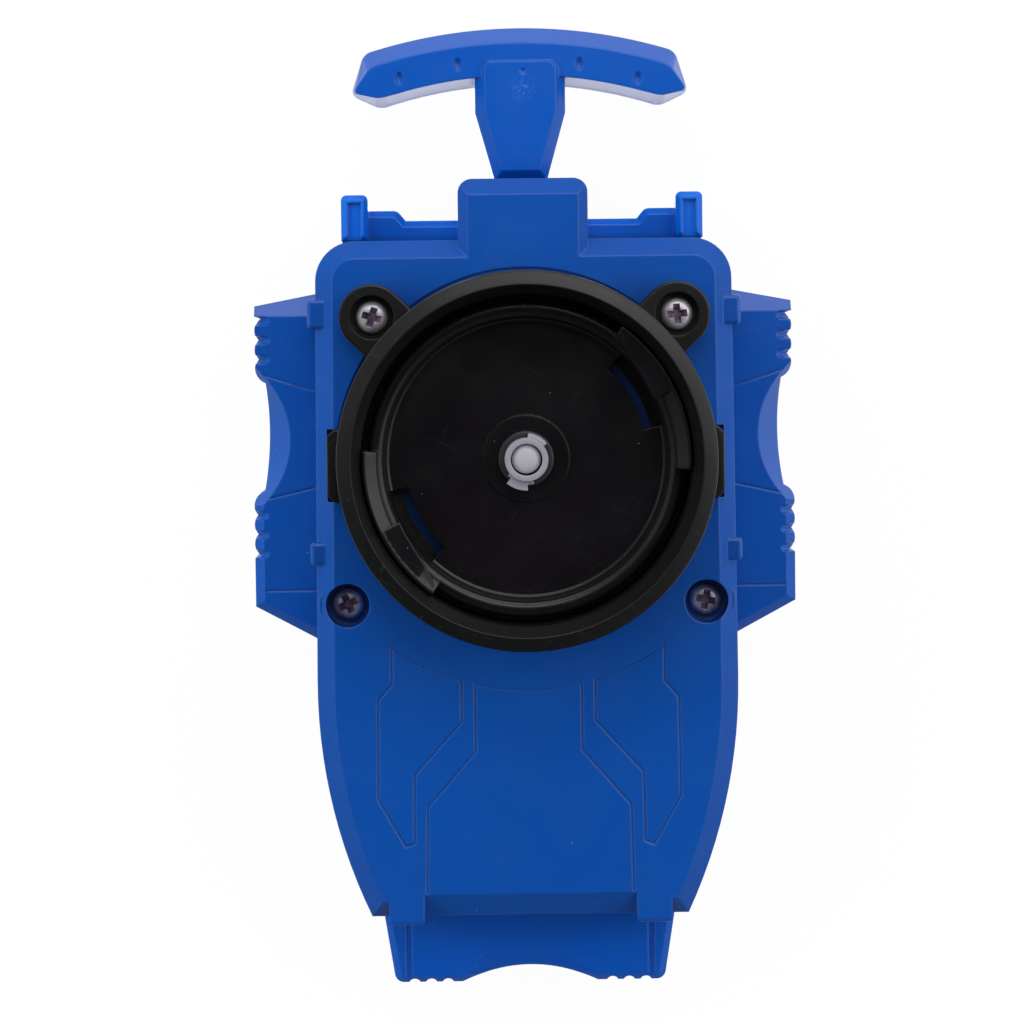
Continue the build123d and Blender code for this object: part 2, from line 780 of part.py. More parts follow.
with BuildPart() as string_run:
    with BuildLine():
        route = FilletPolyline(
            (*leave_point, string_height),
            (*string_bend, string_height),
            (0, string_joint, string_height),
            radius=string_bend_radius,
        )
    with BuildSketch(Plane(route @ 0, z_dir=route % 0)):
        Circle(string_radius)
    sweep()
save(string_run, "string_run")
tube_volume = math.pi * string_radius**2 * route.length
print("string run", round(route.length, 2), "arc radius", string_bend_radius,
      "volume ratio", round(string_run.part.volume / tube_volume, 4))

knot_radius = 1.7
knot_gap = 0.2
with BuildPart() as string_knot:
    with Locations((0, knot_y, string_height)):
        Sphere(knot_radius)
    with Locations(Location((0, knot_y, string_height), (90, 0, 0))):
        Cylinder(string_radius, 2 * knot_radius, align=upright, mode=Mode.SUBTRACT)
save(string_knot, "string_knot")

with BuildPart() as string_lead:
    with BuildSketch(Plane.XZ.offset(-knot_y)):
        with Locations((0, string_height)):
            Circle(string_radius)
    extrude(amount=knot_y - string_joint)
save(string_lead, "string_lead")

# ---- Handle: T-bar in two halves pinned together round the knot ----
bar_apex = 54.3
bar_end_x = 19.9
bar_end_y = 51.2
bar_tip_x = 21.6
bar_tip_y = 46.0
bar_heel_x = 17.8
bar_heel_y = 44.2
bar_inner_apex = 47.1
stem_half = 5.75
stem_shoulder_y = 43.4
stem_foot_half = 3.35
stem_foot_y = neck_top + 0.05
stem_bevel = 1.1
locating_pins = [(-15.5, 48.9), (15.5, 48.9), (-7.8, 50.4), (7.8, 50.4)]
locating_radius = 1.1
peg_height = 2.5
end_rounding = 1.3
stem_rounding = 0.8
dimple_radius = 0.75
dimple_depth = 0.4


def inner_arc_y(x):
    sagitta = bar_inner_apex - bar_heel_y
    radius = (bar_heel_x**2 + sagitta**2) / (2 * sagitta)
    return bar_inner_apex - radius + math.sqrt(radius**2 - x**2)


def handle_sketch():
    with BuildSketch() as outline:
        with BuildLine():
            ThreePointArc((-bar_end_x, bar_end_y), (0, bar_apex), (bar_end_x, bar_end_y))
            Line((bar_end_x, bar_end_y), (bar_tip_x, bar_tip_y))
            Line((bar_tip_x, bar_tip_y), (bar_heel_x, bar_heel_y))
            middle = (bar_heel_x + stem_half) / 2
            ThreePointArc((bar_heel_x, bar_heel_y), (middle, inner_arc_y(middle)),
                          (stem_half, inner_arc_y(stem_half)))
            Line((stem_half, inner_arc_y(stem_half)), (stem_half, stem_shoulder_y))
            Line((stem_half, stem_shoulder_y), (stem_foot_half, stem_foot_y))
            Line((stem_foot_half, stem_foot_y), (-stem_foot_half, stem_foot_y))
            Line((-stem_foot_half, stem_foot_y), (-stem_half, stem_shoulder_y))
            Line((-stem_half, stem_shoulder_y), (-stem_half, inner_arc_y(stem_half)))
            ThreePointArc((-stem_half, inner_arc_y(stem_half)), (-middle, inner_arc_y(middle)),
                          (-bar_heel_x, bar_heel_y))
            Line((-bar_heel_x, bar_heel_y), (-bar_tip_x, bar_tip_y))
            Line((-bar_tip_x, bar_tip_y), (-bar_end_x, bar_end_y))
        make_face()
        ends = outline.vertices().filter_by(lambda v: abs(v.X) > bar_heel_x - 1)
        fillet(ends, end_rounding)
        corners = outline.vertices().filter_by(lambda v: abs(abs(v.X) - stem_half) < 0.1)
        fillet(corners.filter_by(lambda v: v.Y > stem_shoulder_y + 1), stem_rounding)
    return outline.sketch


# One half of the handle, from the split to the outer face in the given direction.
def handle_half(direction):
    with BuildSketch(Plane.XY.offset(handle_split)) as section:
        add(handle_sketch())
    extrude(section.sketch, amount=direction * handle_half_thickness)


def string_passage():
    with Locations((0, knot_y, handle_split)):
        Sphere(knot_radius + knot_gap, mode=Mode.SUBTRACT)
    with Locations(Location((0, knot_y, handle_split), (90, 0, 0))):
        Cylinder(guide_bore, knot_y - neck_top, align=upright, mode=Mode.SUBTRACT)


with BuildPart() as handle_front:
    handle_half(1)
    chamfer(handle_front.faces().sort_by(Axis.Z)[-1].edges(), stem_bevel)
    string_passage()
    for centre in locating_pins:
        post(centre, locating_radius, handle_split, handle_split + peg_height + 0.1, mode=Mode.SUBTRACT)
        with Locations((*centre, handle_split + handle_half_thickness + dimple_radius - dimple_depth)):
            Sphere(dimple_radius, mode=Mode.SUBTRACT)
save(handle_front, "handle_front")

with BuildPart() as handle_back:
    handle_half(-1)
    chamfer(handle_back.faces().sort_by(Axis.Z)[0].edges(), stem_bevel)
    string_passage()
    for centre in locating_pins:
        post(centre, locating_radius, handle_split - 1.0, handle_split + peg_height)
save(handle_back, "handle_back")

# ---- Drum: spring barrel below, string groove above, cap with the pawl pins ----
with BuildPart() as string_drum:
    post(drum_centre, flange_radius, barrel_low, groove_low)
    post(drum_centre, barrel_inner, barrel_low, groove_low - flange_thickness, mode=Mode.SUBTRACT)
    post(drum_centre, hub_radius, groove_low, groove_high)
    post(drum_centre, axle_radius + running_gap, barrel_low, groove_high, mode=Mode.SUBTRACT)
save(string_drum, "string_drum")

with BuildPart() as drum_cap:
    post(drum_centre, flange_radius, groove_high, groove_high + flange_thickness)
    post(drum_centre, axle_radius + running_gap, groove_high, split_height, mode=Mode.SUBTRACT)
    for angle in pawl_angles:
        post(polar(drum_centre, pawl_pivot_radius, angle), pawl_pin_radius, split_height, pawl_high)
save(drum_cap, "drum_cap")

# Flat spiral band: half circles about two centres half a pitch apart, from the axle out to the barrel.
band_thickness = 0.25
band_start = 1.9
band_turns = 12
band_gap = 0.35
band_pitch = (barrel_inner - band_gap - band_start) / band_turns
band_low = barrel_low + band_gap
band_high = groove_low - flange_thickness - band_gap


def spiral_edge(shift):
    for half_turn in range(2 * band_turns):
        radius = band_start + shift + (half_turn + 0.5) * band_pitch / 2
        centre_shift = band_pitch / 4 if half_turn % 2 else -band_pitch / 4
        start = 180.0 if half_turn % 2 else 0.0
        CenterArc((drum_centre[0] + centre_shift, drum_centre[1]), radius, start, 180)


with BuildPart() as rewind_spring:
    with BuildSketch(Plane.XY.offset(band_low)):
        with BuildLine() as band:
            spiral_edge(-band_thickness / 2)
            spiral_edge(band_thickness / 2)
            first, last = band_start, band_start + band_turns * band_pitch
            for radius in (first, last):
                Line((drum_centre[0] + radius - band_thickness / 2, drum_centre[1]),
                     (drum_centre[0] + radius + band_thickness / 2, drum_centre[1]))
        make_face()
    extrude(amount=band_high - band_low)
save(rewind_spring, "rewind_spring")

# ---- Pawls: hooks on the cap's pins that catch the drum gear when the string is pulled ----
tooth_lead = 3.4
arm_inner = 9.7
arm_outer = 12.15
pawl_eye = 1.7
heel_radius = 13.1
heel_angle = -3.0
toe_radius = 13.55
toe_angle = 1.6
nose_angle = 2.2
tail_angle = -4.0


def pawl(pivot_angle):
    tip_angle = pivot_angle - pawl_reach
    with BuildSketch(Plane.XY.offset(pawl_low)) as section:
        arm_middle = tip_angle + pawl_reach / 2
        tail = polar(drum_centre, arm_inner, tip_angle + tail_angle)
        heel = polar(drum_centre, heel_radius, tip_angle + heel_angle)
        toe = polar(drum_centre, toe_radius, tip_angle + toe_angle)
        nose = polar(drum_centre, arm_outer, tip_angle + nose_angle)
        outer_end = polar(drum_centre, arm_outer, pivot_angle)
        inner_end = polar(drum_centre, arm_inner, pivot_angle)
        with BuildLine():
            Polyline(tail, heel, toe, nose)
            ThreePointArc(nose, polar(drum_centre, arm_outer, arm_middle), outer_end)
            Line(outer_end, inner_end)
            ThreePointArc(inner_end, polar(drum_centre, arm_inner, arm_middle), tail)
        make_face()
        with Locations(polar(drum_centre, pawl_pivot_radius, pivot_angle)):
            Circle(pawl_eye)
            Circle(pawl_pin_radius + running_gap, mode=Mode.SUBTRACT)
    extrude(section.sketch, amount=pawl_high - pawl_low)


with BuildPart() as pawl_a:
    pawl(pawl_angles[0])
save(pawl_a, "pawl_a")

with BuildPart() as pawl_b:
    pawl(pawl_angles[1])
save(pawl_b, "pawl_b")

# ---- Drum gear: spur teeth outside, saw-tooth ratchet inside its skirt ----
catch_angle = pawl_angles[0] - pawl_reach + tooth_lead
web_hole_radius = 2.6
web_hole_circle = 8.5
web_holes = 6
gear_hub_radius = 3.2
gear_hub_top = gear_high + 1.0


def ratchet_sketch():
    step = 360 / ratchet_teeth
    with BuildSketch() as ratchet:
        with BuildLine():
            for tooth in range(ratchet_teeth):
                start = catch_angle + tooth * step
                Line(polar(drum_centre, ratchet_root, start), polar(drum_centre, ratchet_tip, start))
                ThreePointArc(
                    polar(drum_centre, ratchet_tip, start),
                    polar(drum_centre, (ratchet_tip + ratchet_root) / 2, start + step / 2),
                    polar(drum_centre, ratchet_root, start + step),
                )
        make_face()
    return ratchet.sketch


with BuildPart() as drum_gear:
    with BuildSketch(Plane.XY.offset(gear_low)):
        add(gear_sketch(drum_teeth, drum_centre, drum_phase))
    extrude(amount=gear_high - gear_low)
    post(drum_centre, ratchet_outer, ratchet_low, gear_low)
    with BuildSketch(Plane.XY.offset(ratchet_low)):
        add(ratchet_sketch())
    extrude(amount=gear_low - ratchet_low, mode=Mode.SUBTRACT)
    post(drum_centre, gear_hub_radius, gear_high, gear_hub_top)
    post(drum_centre, axle_radius + running_gap, gear_low, gear_hub_top, mode=Mode.SUBTRACT)
    for hole in range(web_holes):
        centre = polar(drum_centre, web_hole_circle, hole * 360 / web_holes)
        post(centre, web_hole_radius, gear_low, gear_high, mode=Mode.SUBTRACT)
save(drum_gear, "drum_gear")

# ---- Idler gear ----
with BuildPart() as idler_gear:
    with BuildSketch(Plane.XY.offset(gear_low)):
        add(gear_sketch(idler_teeth, idler_centre, idler_phase))
    extrude(amount=gear_high - gear_low)
    post(idler_centre, idler_axle_radius + running_gap, gear_low, gear_high, mode=Mode.SUBTRACT)
save(idler_gear, "idler_gear")

# ---- Turret: white geared shaft, black hook disc, dark hub collar ----
journal_foot = string_height + 0.2
shoulder_radius_low = 4.2
shoulder_top = gear_high + 1.0
key_width = 1.6
key_gap = 0.05
lobe_low = disc_floor + 1.6
lobe_high = sleeve_top - 0.4
lobe_width = 2.4
sleeve_rounding = 0.15
hub_pad_radius = 5.4
hub_pad_rise = 0.3
collar_top = disc_floor + 1.5
rim_rounding = 0.6
prong_starts = (-6, 174)
prong_span = 59
lip_start, lip_end = 24, 56
window_start, window_end = 17, 52
window_inner = 14.9
prong_root = disc_rim - 1.5


# A cross key through the shaft, in line with the lobes.
def key_slot(width, length, low, high, mode=Mode.ADD):
    with BuildSketch(Plane.XY.offset(low)) as section:
        with Locations(Rotation(0, 0, lobe_angle)):
            Rectangle(length, width)
    extrude(section.sketch, amount=high - low, mode=mode)


with BuildPart() as turret_shaft:
    with BuildSketch(Plane.XY.offset(gear_low)):
        add(gear_sketch(turret_teeth, turret_centre, turret_phase))
    extrude(amount=gear_high - gear_low)
    post(turret_centre, lower_journal_radius, journal_foot, gear_low)
    post(turret_centre, shoulder_radius_low, gear_high, shoulder_top)
    post(turret_centre, journal_radius, shoulder_top, disc_low)
    post(turret_centre, sleeve_radius, disc_low, sleeve_top)
    key_slot(key_width, 2 * journal_radius, disc_low, disc_floor)
    with BuildSketch(Plane.XY.offset(lobe_low)):
        with Locations(Rotation(0, 0, lobe_angle)):
            SlotOverall(2 * lobe_radius, lobe_width)
    extrude(amount=lobe_high - lobe_low)
    post(turret_centre, pin_radius + running_gap, pin_bore_floor, sleeve_top, mode=Mode.SUBTRACT)
    fillet(turret_shaft.edges().group_by(Axis.Z)[-1], sleeve_rounding)
save(turret_shaft, "turret_shaft")


# A wall that follows an arc about the cup's axis.
def arc_wall(inner, outer, start, end, low, high, mode=Mode.ADD):
    with BuildSketch(Plane.XY.offset(low)) as section:
        with BuildLine():
            CenterArc((0, 0), inner, start, end - start)
            CenterArc((0, 0), outer, start, end - start)
            Line(polar((0, 0), inner, start), polar((0, 0), outer, start))
            Line(polar((0, 0), inner, end), polar((0, 0), outer, end))
        make_face()
    extrude(section.sketch, amount=high - low, mode=mode)


with BuildPart() as hook_disc:
    post(turret_centre, disc_outer, disc_low, disc_rim)
    post(turret_centre, disc_inner, disc_floor, disc_rim, mode=Mode.SUBTRACT)
    fillet(hook_disc.faces().sort_by(Axis.Z)[-1].edges(), rim_rounding)
    post(turret_centre, hub_pad_radius, disc_floor, disc_floor + hub_pad_rise)
    for start in prong_starts:
        arc_wall(prong_inner, prong_outer, start, start + prong_span, prong_root, prong_top)
        arc_wall(lip_inner, prong_outer, start + lip_start, start + lip_end, lip_low, prong_top)
        arc_wall(window_inner, lip_inner, start + window_start, start + window_end, disc_low, disc_floor,
                 mode=Mode.SUBTRACT)
    post(turret_centre, sleeve_radius + running_gap, disc_low, disc_rim, mode=Mode.SUBTRACT)
    key_slot(key_width + 2 * key_gap, 2 * (journal_radius + key_gap), disc_low, disc_floor + hub_pad_rise,
             mode=Mode.SUBTRACT)
save(hook_disc, "hook_disc")

with BuildPart() as hub_collar:
    post(turret_centre, journal_radius, disc_floor + hub_pad_rise, collar_top)
    post(turret_centre, sleeve_radius + running_gap, disc_floor, collar_top, mode=Mode.SUBTRACT)
save(hub_collar, "hub_collar")

# ---- Centre pin and its spring ----
nose_low = sleeve_top - 3.0
nose_rounding = 0.8
with BuildPart() as center_pin:
    post(turret_centre, pin_radius, pin_low, nose_low)
    post(turret_centre, pin_nose_radius, nose_low, pin_top)
    fillet(center_pin.edges().group_by(Axis.Z)[-1], nose_rounding)
save(center_pin, "center_pin")

spring_radius = 1.45
wire_radius = 0.18
spring_turns = 6
spring_low = pin_bore_floor + 2 * wire_radius
spring_rise = pin_low - pin_bore_floor - 4 * wire_radius
with BuildPart() as plunger_spring:
    with BuildLine():
        coil = Helix(spring_rise / spring_turns, spring_rise, spring_radius, center=(0, 0, spring_low))
    with BuildSketch(Plane(coil @ 0, z_dir=coil % 0)):
        Circle(wire_radius)
    sweep(is_frenet=True)
save(plunger_spring, "plunger_spring")
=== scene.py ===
import bmesh
import bpy
import json
import math
from mathutils import Matrix, Vector

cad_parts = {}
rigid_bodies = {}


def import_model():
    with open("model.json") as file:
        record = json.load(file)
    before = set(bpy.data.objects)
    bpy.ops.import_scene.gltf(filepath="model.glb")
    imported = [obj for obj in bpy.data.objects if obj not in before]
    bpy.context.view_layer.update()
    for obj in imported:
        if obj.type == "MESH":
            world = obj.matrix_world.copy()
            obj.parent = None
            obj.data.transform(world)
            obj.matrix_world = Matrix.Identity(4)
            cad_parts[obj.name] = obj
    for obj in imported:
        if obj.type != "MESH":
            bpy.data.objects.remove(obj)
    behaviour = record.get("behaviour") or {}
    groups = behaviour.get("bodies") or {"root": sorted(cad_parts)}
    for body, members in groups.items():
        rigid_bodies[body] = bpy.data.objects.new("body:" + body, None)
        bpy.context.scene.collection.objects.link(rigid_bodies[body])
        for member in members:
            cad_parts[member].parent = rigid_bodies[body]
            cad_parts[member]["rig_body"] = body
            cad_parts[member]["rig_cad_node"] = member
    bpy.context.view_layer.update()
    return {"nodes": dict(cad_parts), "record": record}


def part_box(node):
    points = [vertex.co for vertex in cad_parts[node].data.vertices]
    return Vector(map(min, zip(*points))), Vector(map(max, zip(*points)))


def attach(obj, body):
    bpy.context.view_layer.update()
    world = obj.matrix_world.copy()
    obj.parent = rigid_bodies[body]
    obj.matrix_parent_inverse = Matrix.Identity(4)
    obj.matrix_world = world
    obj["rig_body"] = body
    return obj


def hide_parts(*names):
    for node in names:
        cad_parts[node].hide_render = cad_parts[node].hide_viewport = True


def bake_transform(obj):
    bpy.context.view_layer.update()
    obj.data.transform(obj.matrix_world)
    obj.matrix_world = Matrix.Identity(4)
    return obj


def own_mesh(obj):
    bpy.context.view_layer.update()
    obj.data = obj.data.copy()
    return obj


# Pull-string launcher for spinning tops, lying on its back: the cup looks up, the handle points to +Y.

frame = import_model()
bpy.ops.object.select_all(action="DESELECT")

mm = 0.001
turn = 2 * math.pi
weld = 0.002 * mm     # corners nearer to each other than this are one
snug = 0.01 * mm      # how near to a place something has to be to count as there
along = 0.9           # what a direction has to have along an axis to count as following it
across = 0.1          # and what it may have at most to count as square to it
print("frame loaded:", len(frame["nodes"]), "nodes")


# Camera

cameraSettings = {
    "distance": 450 * mm,     # from the case's front plate
    "lens": 126.6,
    "aim": (-1.8 * mm, -6.8 * mm),
    "leanToHandle": 3.5,      # degrees towards +Y
    "leanToLeft": 0.7,        # degrees towards -X
    "roll": 0.69,
    "clipStart": 10 * mm,
}


def addCamera(s):
    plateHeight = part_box("front_shell")[1].z
    target = Vector((s["aim"][0], s["aim"][1], plateHeight))
    leanX = -math.tan(math.radians(s["leanToLeft"]))
    leanY = math.tan(math.radians(s["leanToHandle"]))
    back = Vector((leanX, leanY, 1)).normalized()
    roll = math.radians(s["roll"])
    right = Vector((math.sin(roll), math.cos(roll), 0)).cross(back).normalized()
    data = bpy.data.cameras.new("shelfCamera")
    data.lens = s["lens"]
    data.clip_start = s["clipStart"]
    camera = bpy.data.objects.new("shelfCamera", data)
    bpy.context.scene.collection.objects.link(camera)
    axes = Matrix((right, back.cross(right), back)).transposed().to_4x4()
    camera.matrix_world = Matrix.Translation(target + back * s["distance"]) @ axes
    bpy.context.scene.camera = camera


addCamera(cameraSettings)
print("camera set")


# Materials

mixFactor, mixFirst, mixSecond, mixResult = 0, 6, 7, 2     # the colour sockets of a Mix node


def linearColor(hexText):
    # sRGB hex to the linear values that the shader sockets take
    parts = [int(hexText[i:i + 2], 16) / 255 for i in (1, 3, 5)]
    return tuple(p / 12.92 if p <= 0.04045 else ((p + 0.055) / 1.055) ** 2.4 for p in parts) + (1.0,)


def addNode(tree, kind, settings=None, inputs=None, links=None):
    # one node, with its settings, socket values and incoming links
    node = tree.nodes.new(kind)
    for name, value in (settings or {}).items():
        setattr(node, name, value)
    for name, value in (inputs or {}).items():
        node.inputs[name].default_value = value
    for name, (source, output) in (links or {}).items():
        tree.links.new(source.outputs[output], node.inputs[name])
    return node


def startMaterial(name, ior=None, metallic=0.0):
    material = bpy.data.materials.new(name)
    material.use_nodes = True
    shader = material.node_tree.nodes["Principled BSDF"]
    shader.inputs["Metallic"].default_value = metallic
    if ior:
        shader.inputs["IOR"].default_value = ior
    return material, material.node_tree, shader


def addHairlines(tree, place, direction, width, length, share):
    # fine straight scratches: a noise drawn out along one direction, of which only the crests are kept
    softness = 0.04
    turned = addNode(tree, "ShaderNodeMapping", inputs={"Rotation": (0, 0, math.radians(direction))},
                     links={"Vector": (place, "Object")})
    drawn = addNode(tree, "ShaderNodeMapping", inputs={"Scale": (1 / length, 1 / width, 1 / width)},
                    links={"Vector": (turned, "Vector")})
    noise = addNode(tree, "ShaderNodeTexNoise", inputs={"Scale": 1.0, "Detail": 1.0},
                    links={"Vector": (drawn, "Vector")})
    return addNode(tree, "ShaderNodeMapRange",
                   inputs={"From Min": 1 - share, "From Max": 1 + softness - share},
                   links={"Value": (noise, "Fac")})


def addSpecks(tree, place, size, spacing):
    # dust: a round dot where the surface passes close to the middle of a random cell
    solidShare = 0.6
    cells = addNode(tree, "ShaderNodeTexVoronoi", inputs={"Scale": 1 / spacing},
                    links={"Vector": (place, "Object")})
    reach = size / spacing / 2
    return addNode(tree, "ShaderNodeMapRange",
                   inputs={"From Min": reach, "From Max": reach * solidShare},
                   links={"Value": (cells, "Distance")})


def addEdgeMask(tree, rounded):
    # 1 on sharp edges, 0 on flats: how far the rounded normal leans from the true one
    flat, sharp = 0.985, 0.75
    true = addNode(tree, "ShaderNodeNewGeometry")
    lean = addNode(tree, "ShaderNodeVectorMath", {"operation": "DOT_PRODUCT"},
                   links={0: (rounded, "Normal"), 1: (true, "Normal")})
    return addNode(tree, "ShaderNodeMapRange", inputs={"From Min": flat, "From Max": sharp},
                   links={"Value": (lean, "Value")})


def addPaintedRibGlow(tree, place, under, s):
    # painted light: beyond a line across the part the walls are thin, and their colour is painted brighter
    # there, standing in for the light that comes through them
    parts = addNode(tree, "ShaderNodeSeparateXYZ", links={"Vector": (place, "Object")})
    share = addNode(tree, "ShaderNodeMapRange",
                    inputs={"From Min": s["ribGlowStart"], "From Max": s["ribGlowFull"]},
                    links={"Value": (parts, "Y")})
    return addNode(tree, "ShaderNodeMix", {"data_type": "RGBA"},
                   inputs={mixSecond: linearColor(s["ribGlowColor"])},
                   links={mixFactor: (share, "Result"), mixFirst: (under, mixResult)})


def addBlush(tree, place, under, s):
    # a pale, streaky patch that fades out round one spot of the face
    parts = addNode(tree, "ShaderNodeSeparateXYZ", links={"Vector": (place, "Object")})
    flat = addNode(tree, "ShaderNodeCombineXYZ", links={"X": (parts, "X"), "Y": (parts, "Y")})
    away = addNode(tree, "ShaderNodeVectorMath", {"operation": "DISTANCE"}, inputs={1: (*s["blushAt"], 0)},
                   links={0: (flat, "Vector")})
    near = addNode(tree, "ShaderNodeMapRange",
                   inputs={"From Min": s["blushReach"], "From Max": s["blushCore"]},
                   links={"Value": (away, "Value")})
    patches = addNode(tree, "ShaderNodeTexNoise", inputs={"Scale": 1 / s["streakSize"], "Detail": 3.0},
                      links={"Vector": (place, "Object")})
    fade, full = s["streakLevels"]
    streaks = addNode(tree, "ShaderNodeMapRange", inputs={"From Min": fade, "From Max": full},
                      links={"Value": (patches, "Fac")})
    share = addNode(tree, "ShaderNodeMath", {"operation": "MULTIPLY"},
                    links={0: (near, "Result"), 1: (streaks, "Result")})
    scaled = addNode(tree, "ShaderNodeMath", {"operation": "MULTIPLY"}, inputs={1: s["blushShare"]},
                     links={0: (share, "Value")})
    return addNode(tree, "ShaderNodeMix", {"data_type": "RGBA"},
                   inputs={mixSecond: linearColor(s["markColor"])},
                   links={mixFactor: (scaled, "Value"), mixFirst: (under, mixResult)})


def mouldedPlastic(name, s):
    # injection-moulded plastic: the colour drifts a little where the melt flowed, the tool's spark-eroded
    # face leaves a fine grain, handling leaves hairlines, and edges are rounded and painted paler: partly
    # rubbed wear, partly a painted highlight
    material, tree, shader = startMaterial(name, ior=s["ior"])
    place = addNode(tree, "ShaderNodeTexCoord")
    drift = addNode(tree, "ShaderNodeTexNoise", inputs={"Scale": 1 / s["driftSize"], "Detail": 2.0},
                    links={"Vector": (place, "Object")})
    body = addNode(tree, "ShaderNodeMix", {"data_type": "RGBA"},
                   inputs={mixFirst: linearColor(s["color"]), mixSecond: linearColor(s["deepColor"])},
                   links={mixFactor: (drift, "Fac")})
    # painted light: the thin ribs get a brighter colour
    if s.get("ribGlowColor"):
        body = addPaintedRibGlow(tree, place, body, s)
    rounded = addNode(tree, "ShaderNodeBevel", {"samples": 6}, inputs={"Radius": s["edgeRadius"]})
    edge = addEdgeMask(tree, rounded)
    # the paler edge colour is partly rubbed wear and partly a painted highlight
    wearGlintShare = addNode(tree, "ShaderNodeMath", {"operation": "MULTIPLY"}, inputs={1: s["wearGlintAmount"]},
                        links={0: (edge, "Result")})
    wearGlintMix = addNode(tree, "ShaderNodeMix", {"data_type": "RGBA"},
                   inputs={mixSecond: linearColor(s["wearGlintColor"])},
                   links={mixFactor: (wearGlintShare, "Value"), mixFirst: (body, mixResult)})
    first, second = [addHairlines(tree, place, direction, s["lineWidth"], length, s["scratches"])
                     for direction, length in s["lineRuns"]]
    lines = addNode(tree, "ShaderNodeMath", {"operation": "MAXIMUM"},
                    links={0: (first, "Result"), 1: (second, "Result")})
    specks = addSpecks(tree, place, s["speckSize"], s["speckSpacing"])
    marks = addNode(tree, "ShaderNodeMath", {"operation": "MULTIPLY_ADD", "use_clamp": True},
                    inputs={1: s["lineShare"]}, links={0: (lines, "Value"), 2: (specks, "Result")})
    marked = addNode(tree, "ShaderNodeMix", {"data_type": "RGBA"},
                     inputs={mixSecond: linearColor(s["markColor"])},
                     links={mixFactor: (marks, "Value"), mixFirst: (wearGlintMix, mixResult)})
    if s.get("blushShare"):
        marked = addBlush(tree, place, marked, s)
    tree.links.new(marked.outputs[mixResult], shader.inputs["Base Color"])
    sheen = addNode(tree, "ShaderNodeTexNoise", inputs={"Scale": 1 / s["sheenSize"], "Detail": 3.0},
                    links={"Vector": (place, "Object")})
    dull, bright = s["sheenLevels"]
    rough = addNode(tree, "ShaderNodeMapRange",
                    inputs={"From Min": dull, "From Max": bright,
                            "To Min": s["roughness"] - s["roughnessSpread"],
                            "To Max": s["roughness"] + s["roughnessSpread"]},
                    links={"Value": (sheen, "Fac")})
    tree.links.new(rough.outputs["Result"], shader.inputs["Roughness"])
    grain = addNode(tree, "ShaderNodeTexNoise", inputs={"Scale": 1 / s["grainSize"], "Detail": 2.0},
                    links={"Vector": (place, "Object")})
    relief = addNode(tree, "ShaderNodeMath", {"operation": "SUBTRACT"},
                     links={0: (grain, "Fac"), 1: (lines, "Value")})
    bump = addNode(tree, "ShaderNodeBump",
                   inputs={"Strength": s["grainStrength"], "Distance": s["grainDepth"]},
                   links={"Height": (relief, "Value"), "Normal": (rounded, "Normal")})
    tree.links.new(bump.outputs["Normal"], shader.inputs["Normal"])
    if s.get("translucency"):
        shader.inputs["Subsurface Weight"].default_value = s["translucency"]
        shader.inputs["Subsurface Radius"].default_value = s["scatterColor"]
        shader.inputs["Subsurface Scale"].default_value = s["scatterDepth"]
    return material


# ABS, moulded against a fine spark-eroded tool: a satin solid colour, its edges soft and painted paler,
# partly as rubbed wear, partly as a painted highlight
blueAbs = {
    "color": "#034396", "deepColor": "#033E8E", "driftSize": 22 * mm, "ior": 1.54,
    "roughness": 0.25, "roughnessSpread": 0.03, "sheenSize": 6 * mm, "sheenLevels": (0.3, 0.7),
    "grainSize": 0.45 * mm,   # a real 0.1 mm grain is too fine to show, so it is drawn four times as coarse
    "grainDepth": 0.010 * mm, "grainStrength": 0.25,
    "edgeRadius": 0.28 * mm, "wearGlintColor": "#3F78C4", "wearGlintAmount": 0.22,
    "scratches": 0.22, "lineShare": 0.04, "lineWidth": 0.16 * mm,
    "lineRuns": ((28, 9 * mm), (-52, 6 * mm)),   # direction in degrees, length
    "speckSize": 0.14 * mm, "speckSpacing": 5 * mm, "markColor": "#8FB0DC",
}
# Where the melt entered the handle's mould the plastic is stressed: it has turned pale in a few streaks
gateBlush = {
    "blushAt": (0.4 * mm, 46.4 * mm), "blushReach": 2.0 * mm, "blushCore": 0.4 * mm, "blushShare": 0.09,
    "streakSize": 0.5 * mm, "streakLevels": (0.48, 0.62),
}
# The back shell's posts and bars are thin ribs, painted brighter than the box behind them: painted light
# for what comes through them and up from the floor
paintedRibGlow = {"ribGlowColor": "#0159C0", "ribGlowStart": 27.2 * mm, "ribGlowFull": 28.2 * mm}
# Black ABS from the same kind of tool: its hairlines show as grey, and its edges are painted grey, partly
# as rubbed wear, partly as a painted highlight
blackAbs = dict(
    blueAbs, color="#0E0E0F", deepColor="#0B0B0C", roughness=0.34, wearGlintColor="#3A3A3E", wearGlintAmount=0.4,
    edgeRadius=0.16 * mm, grainDepth=0.014 * mm, scratches=0.29, lineShare=0.10, speckSize=0.16 * mm,
    speckSpacing=3 * mm, markColor="#6E6E74")
# The same ABS against a polished tool: near-black with a plum cast, dust and hairlines show on it
glossAbs = dict(
    blackAbs, color="#100C10", deepColor="#0C0A0D", roughness=0.26, roughnessSpread=0.04,
    grainStrength=0.08, wearGlintColor="#4A4A4E", wearGlintAmount=0.04, edgeRadius=0.22 * mm, speckSize=0.18 * mm,
    speckSpacing=2.6 * mm, scratches=0.25, lineShare=0.06)
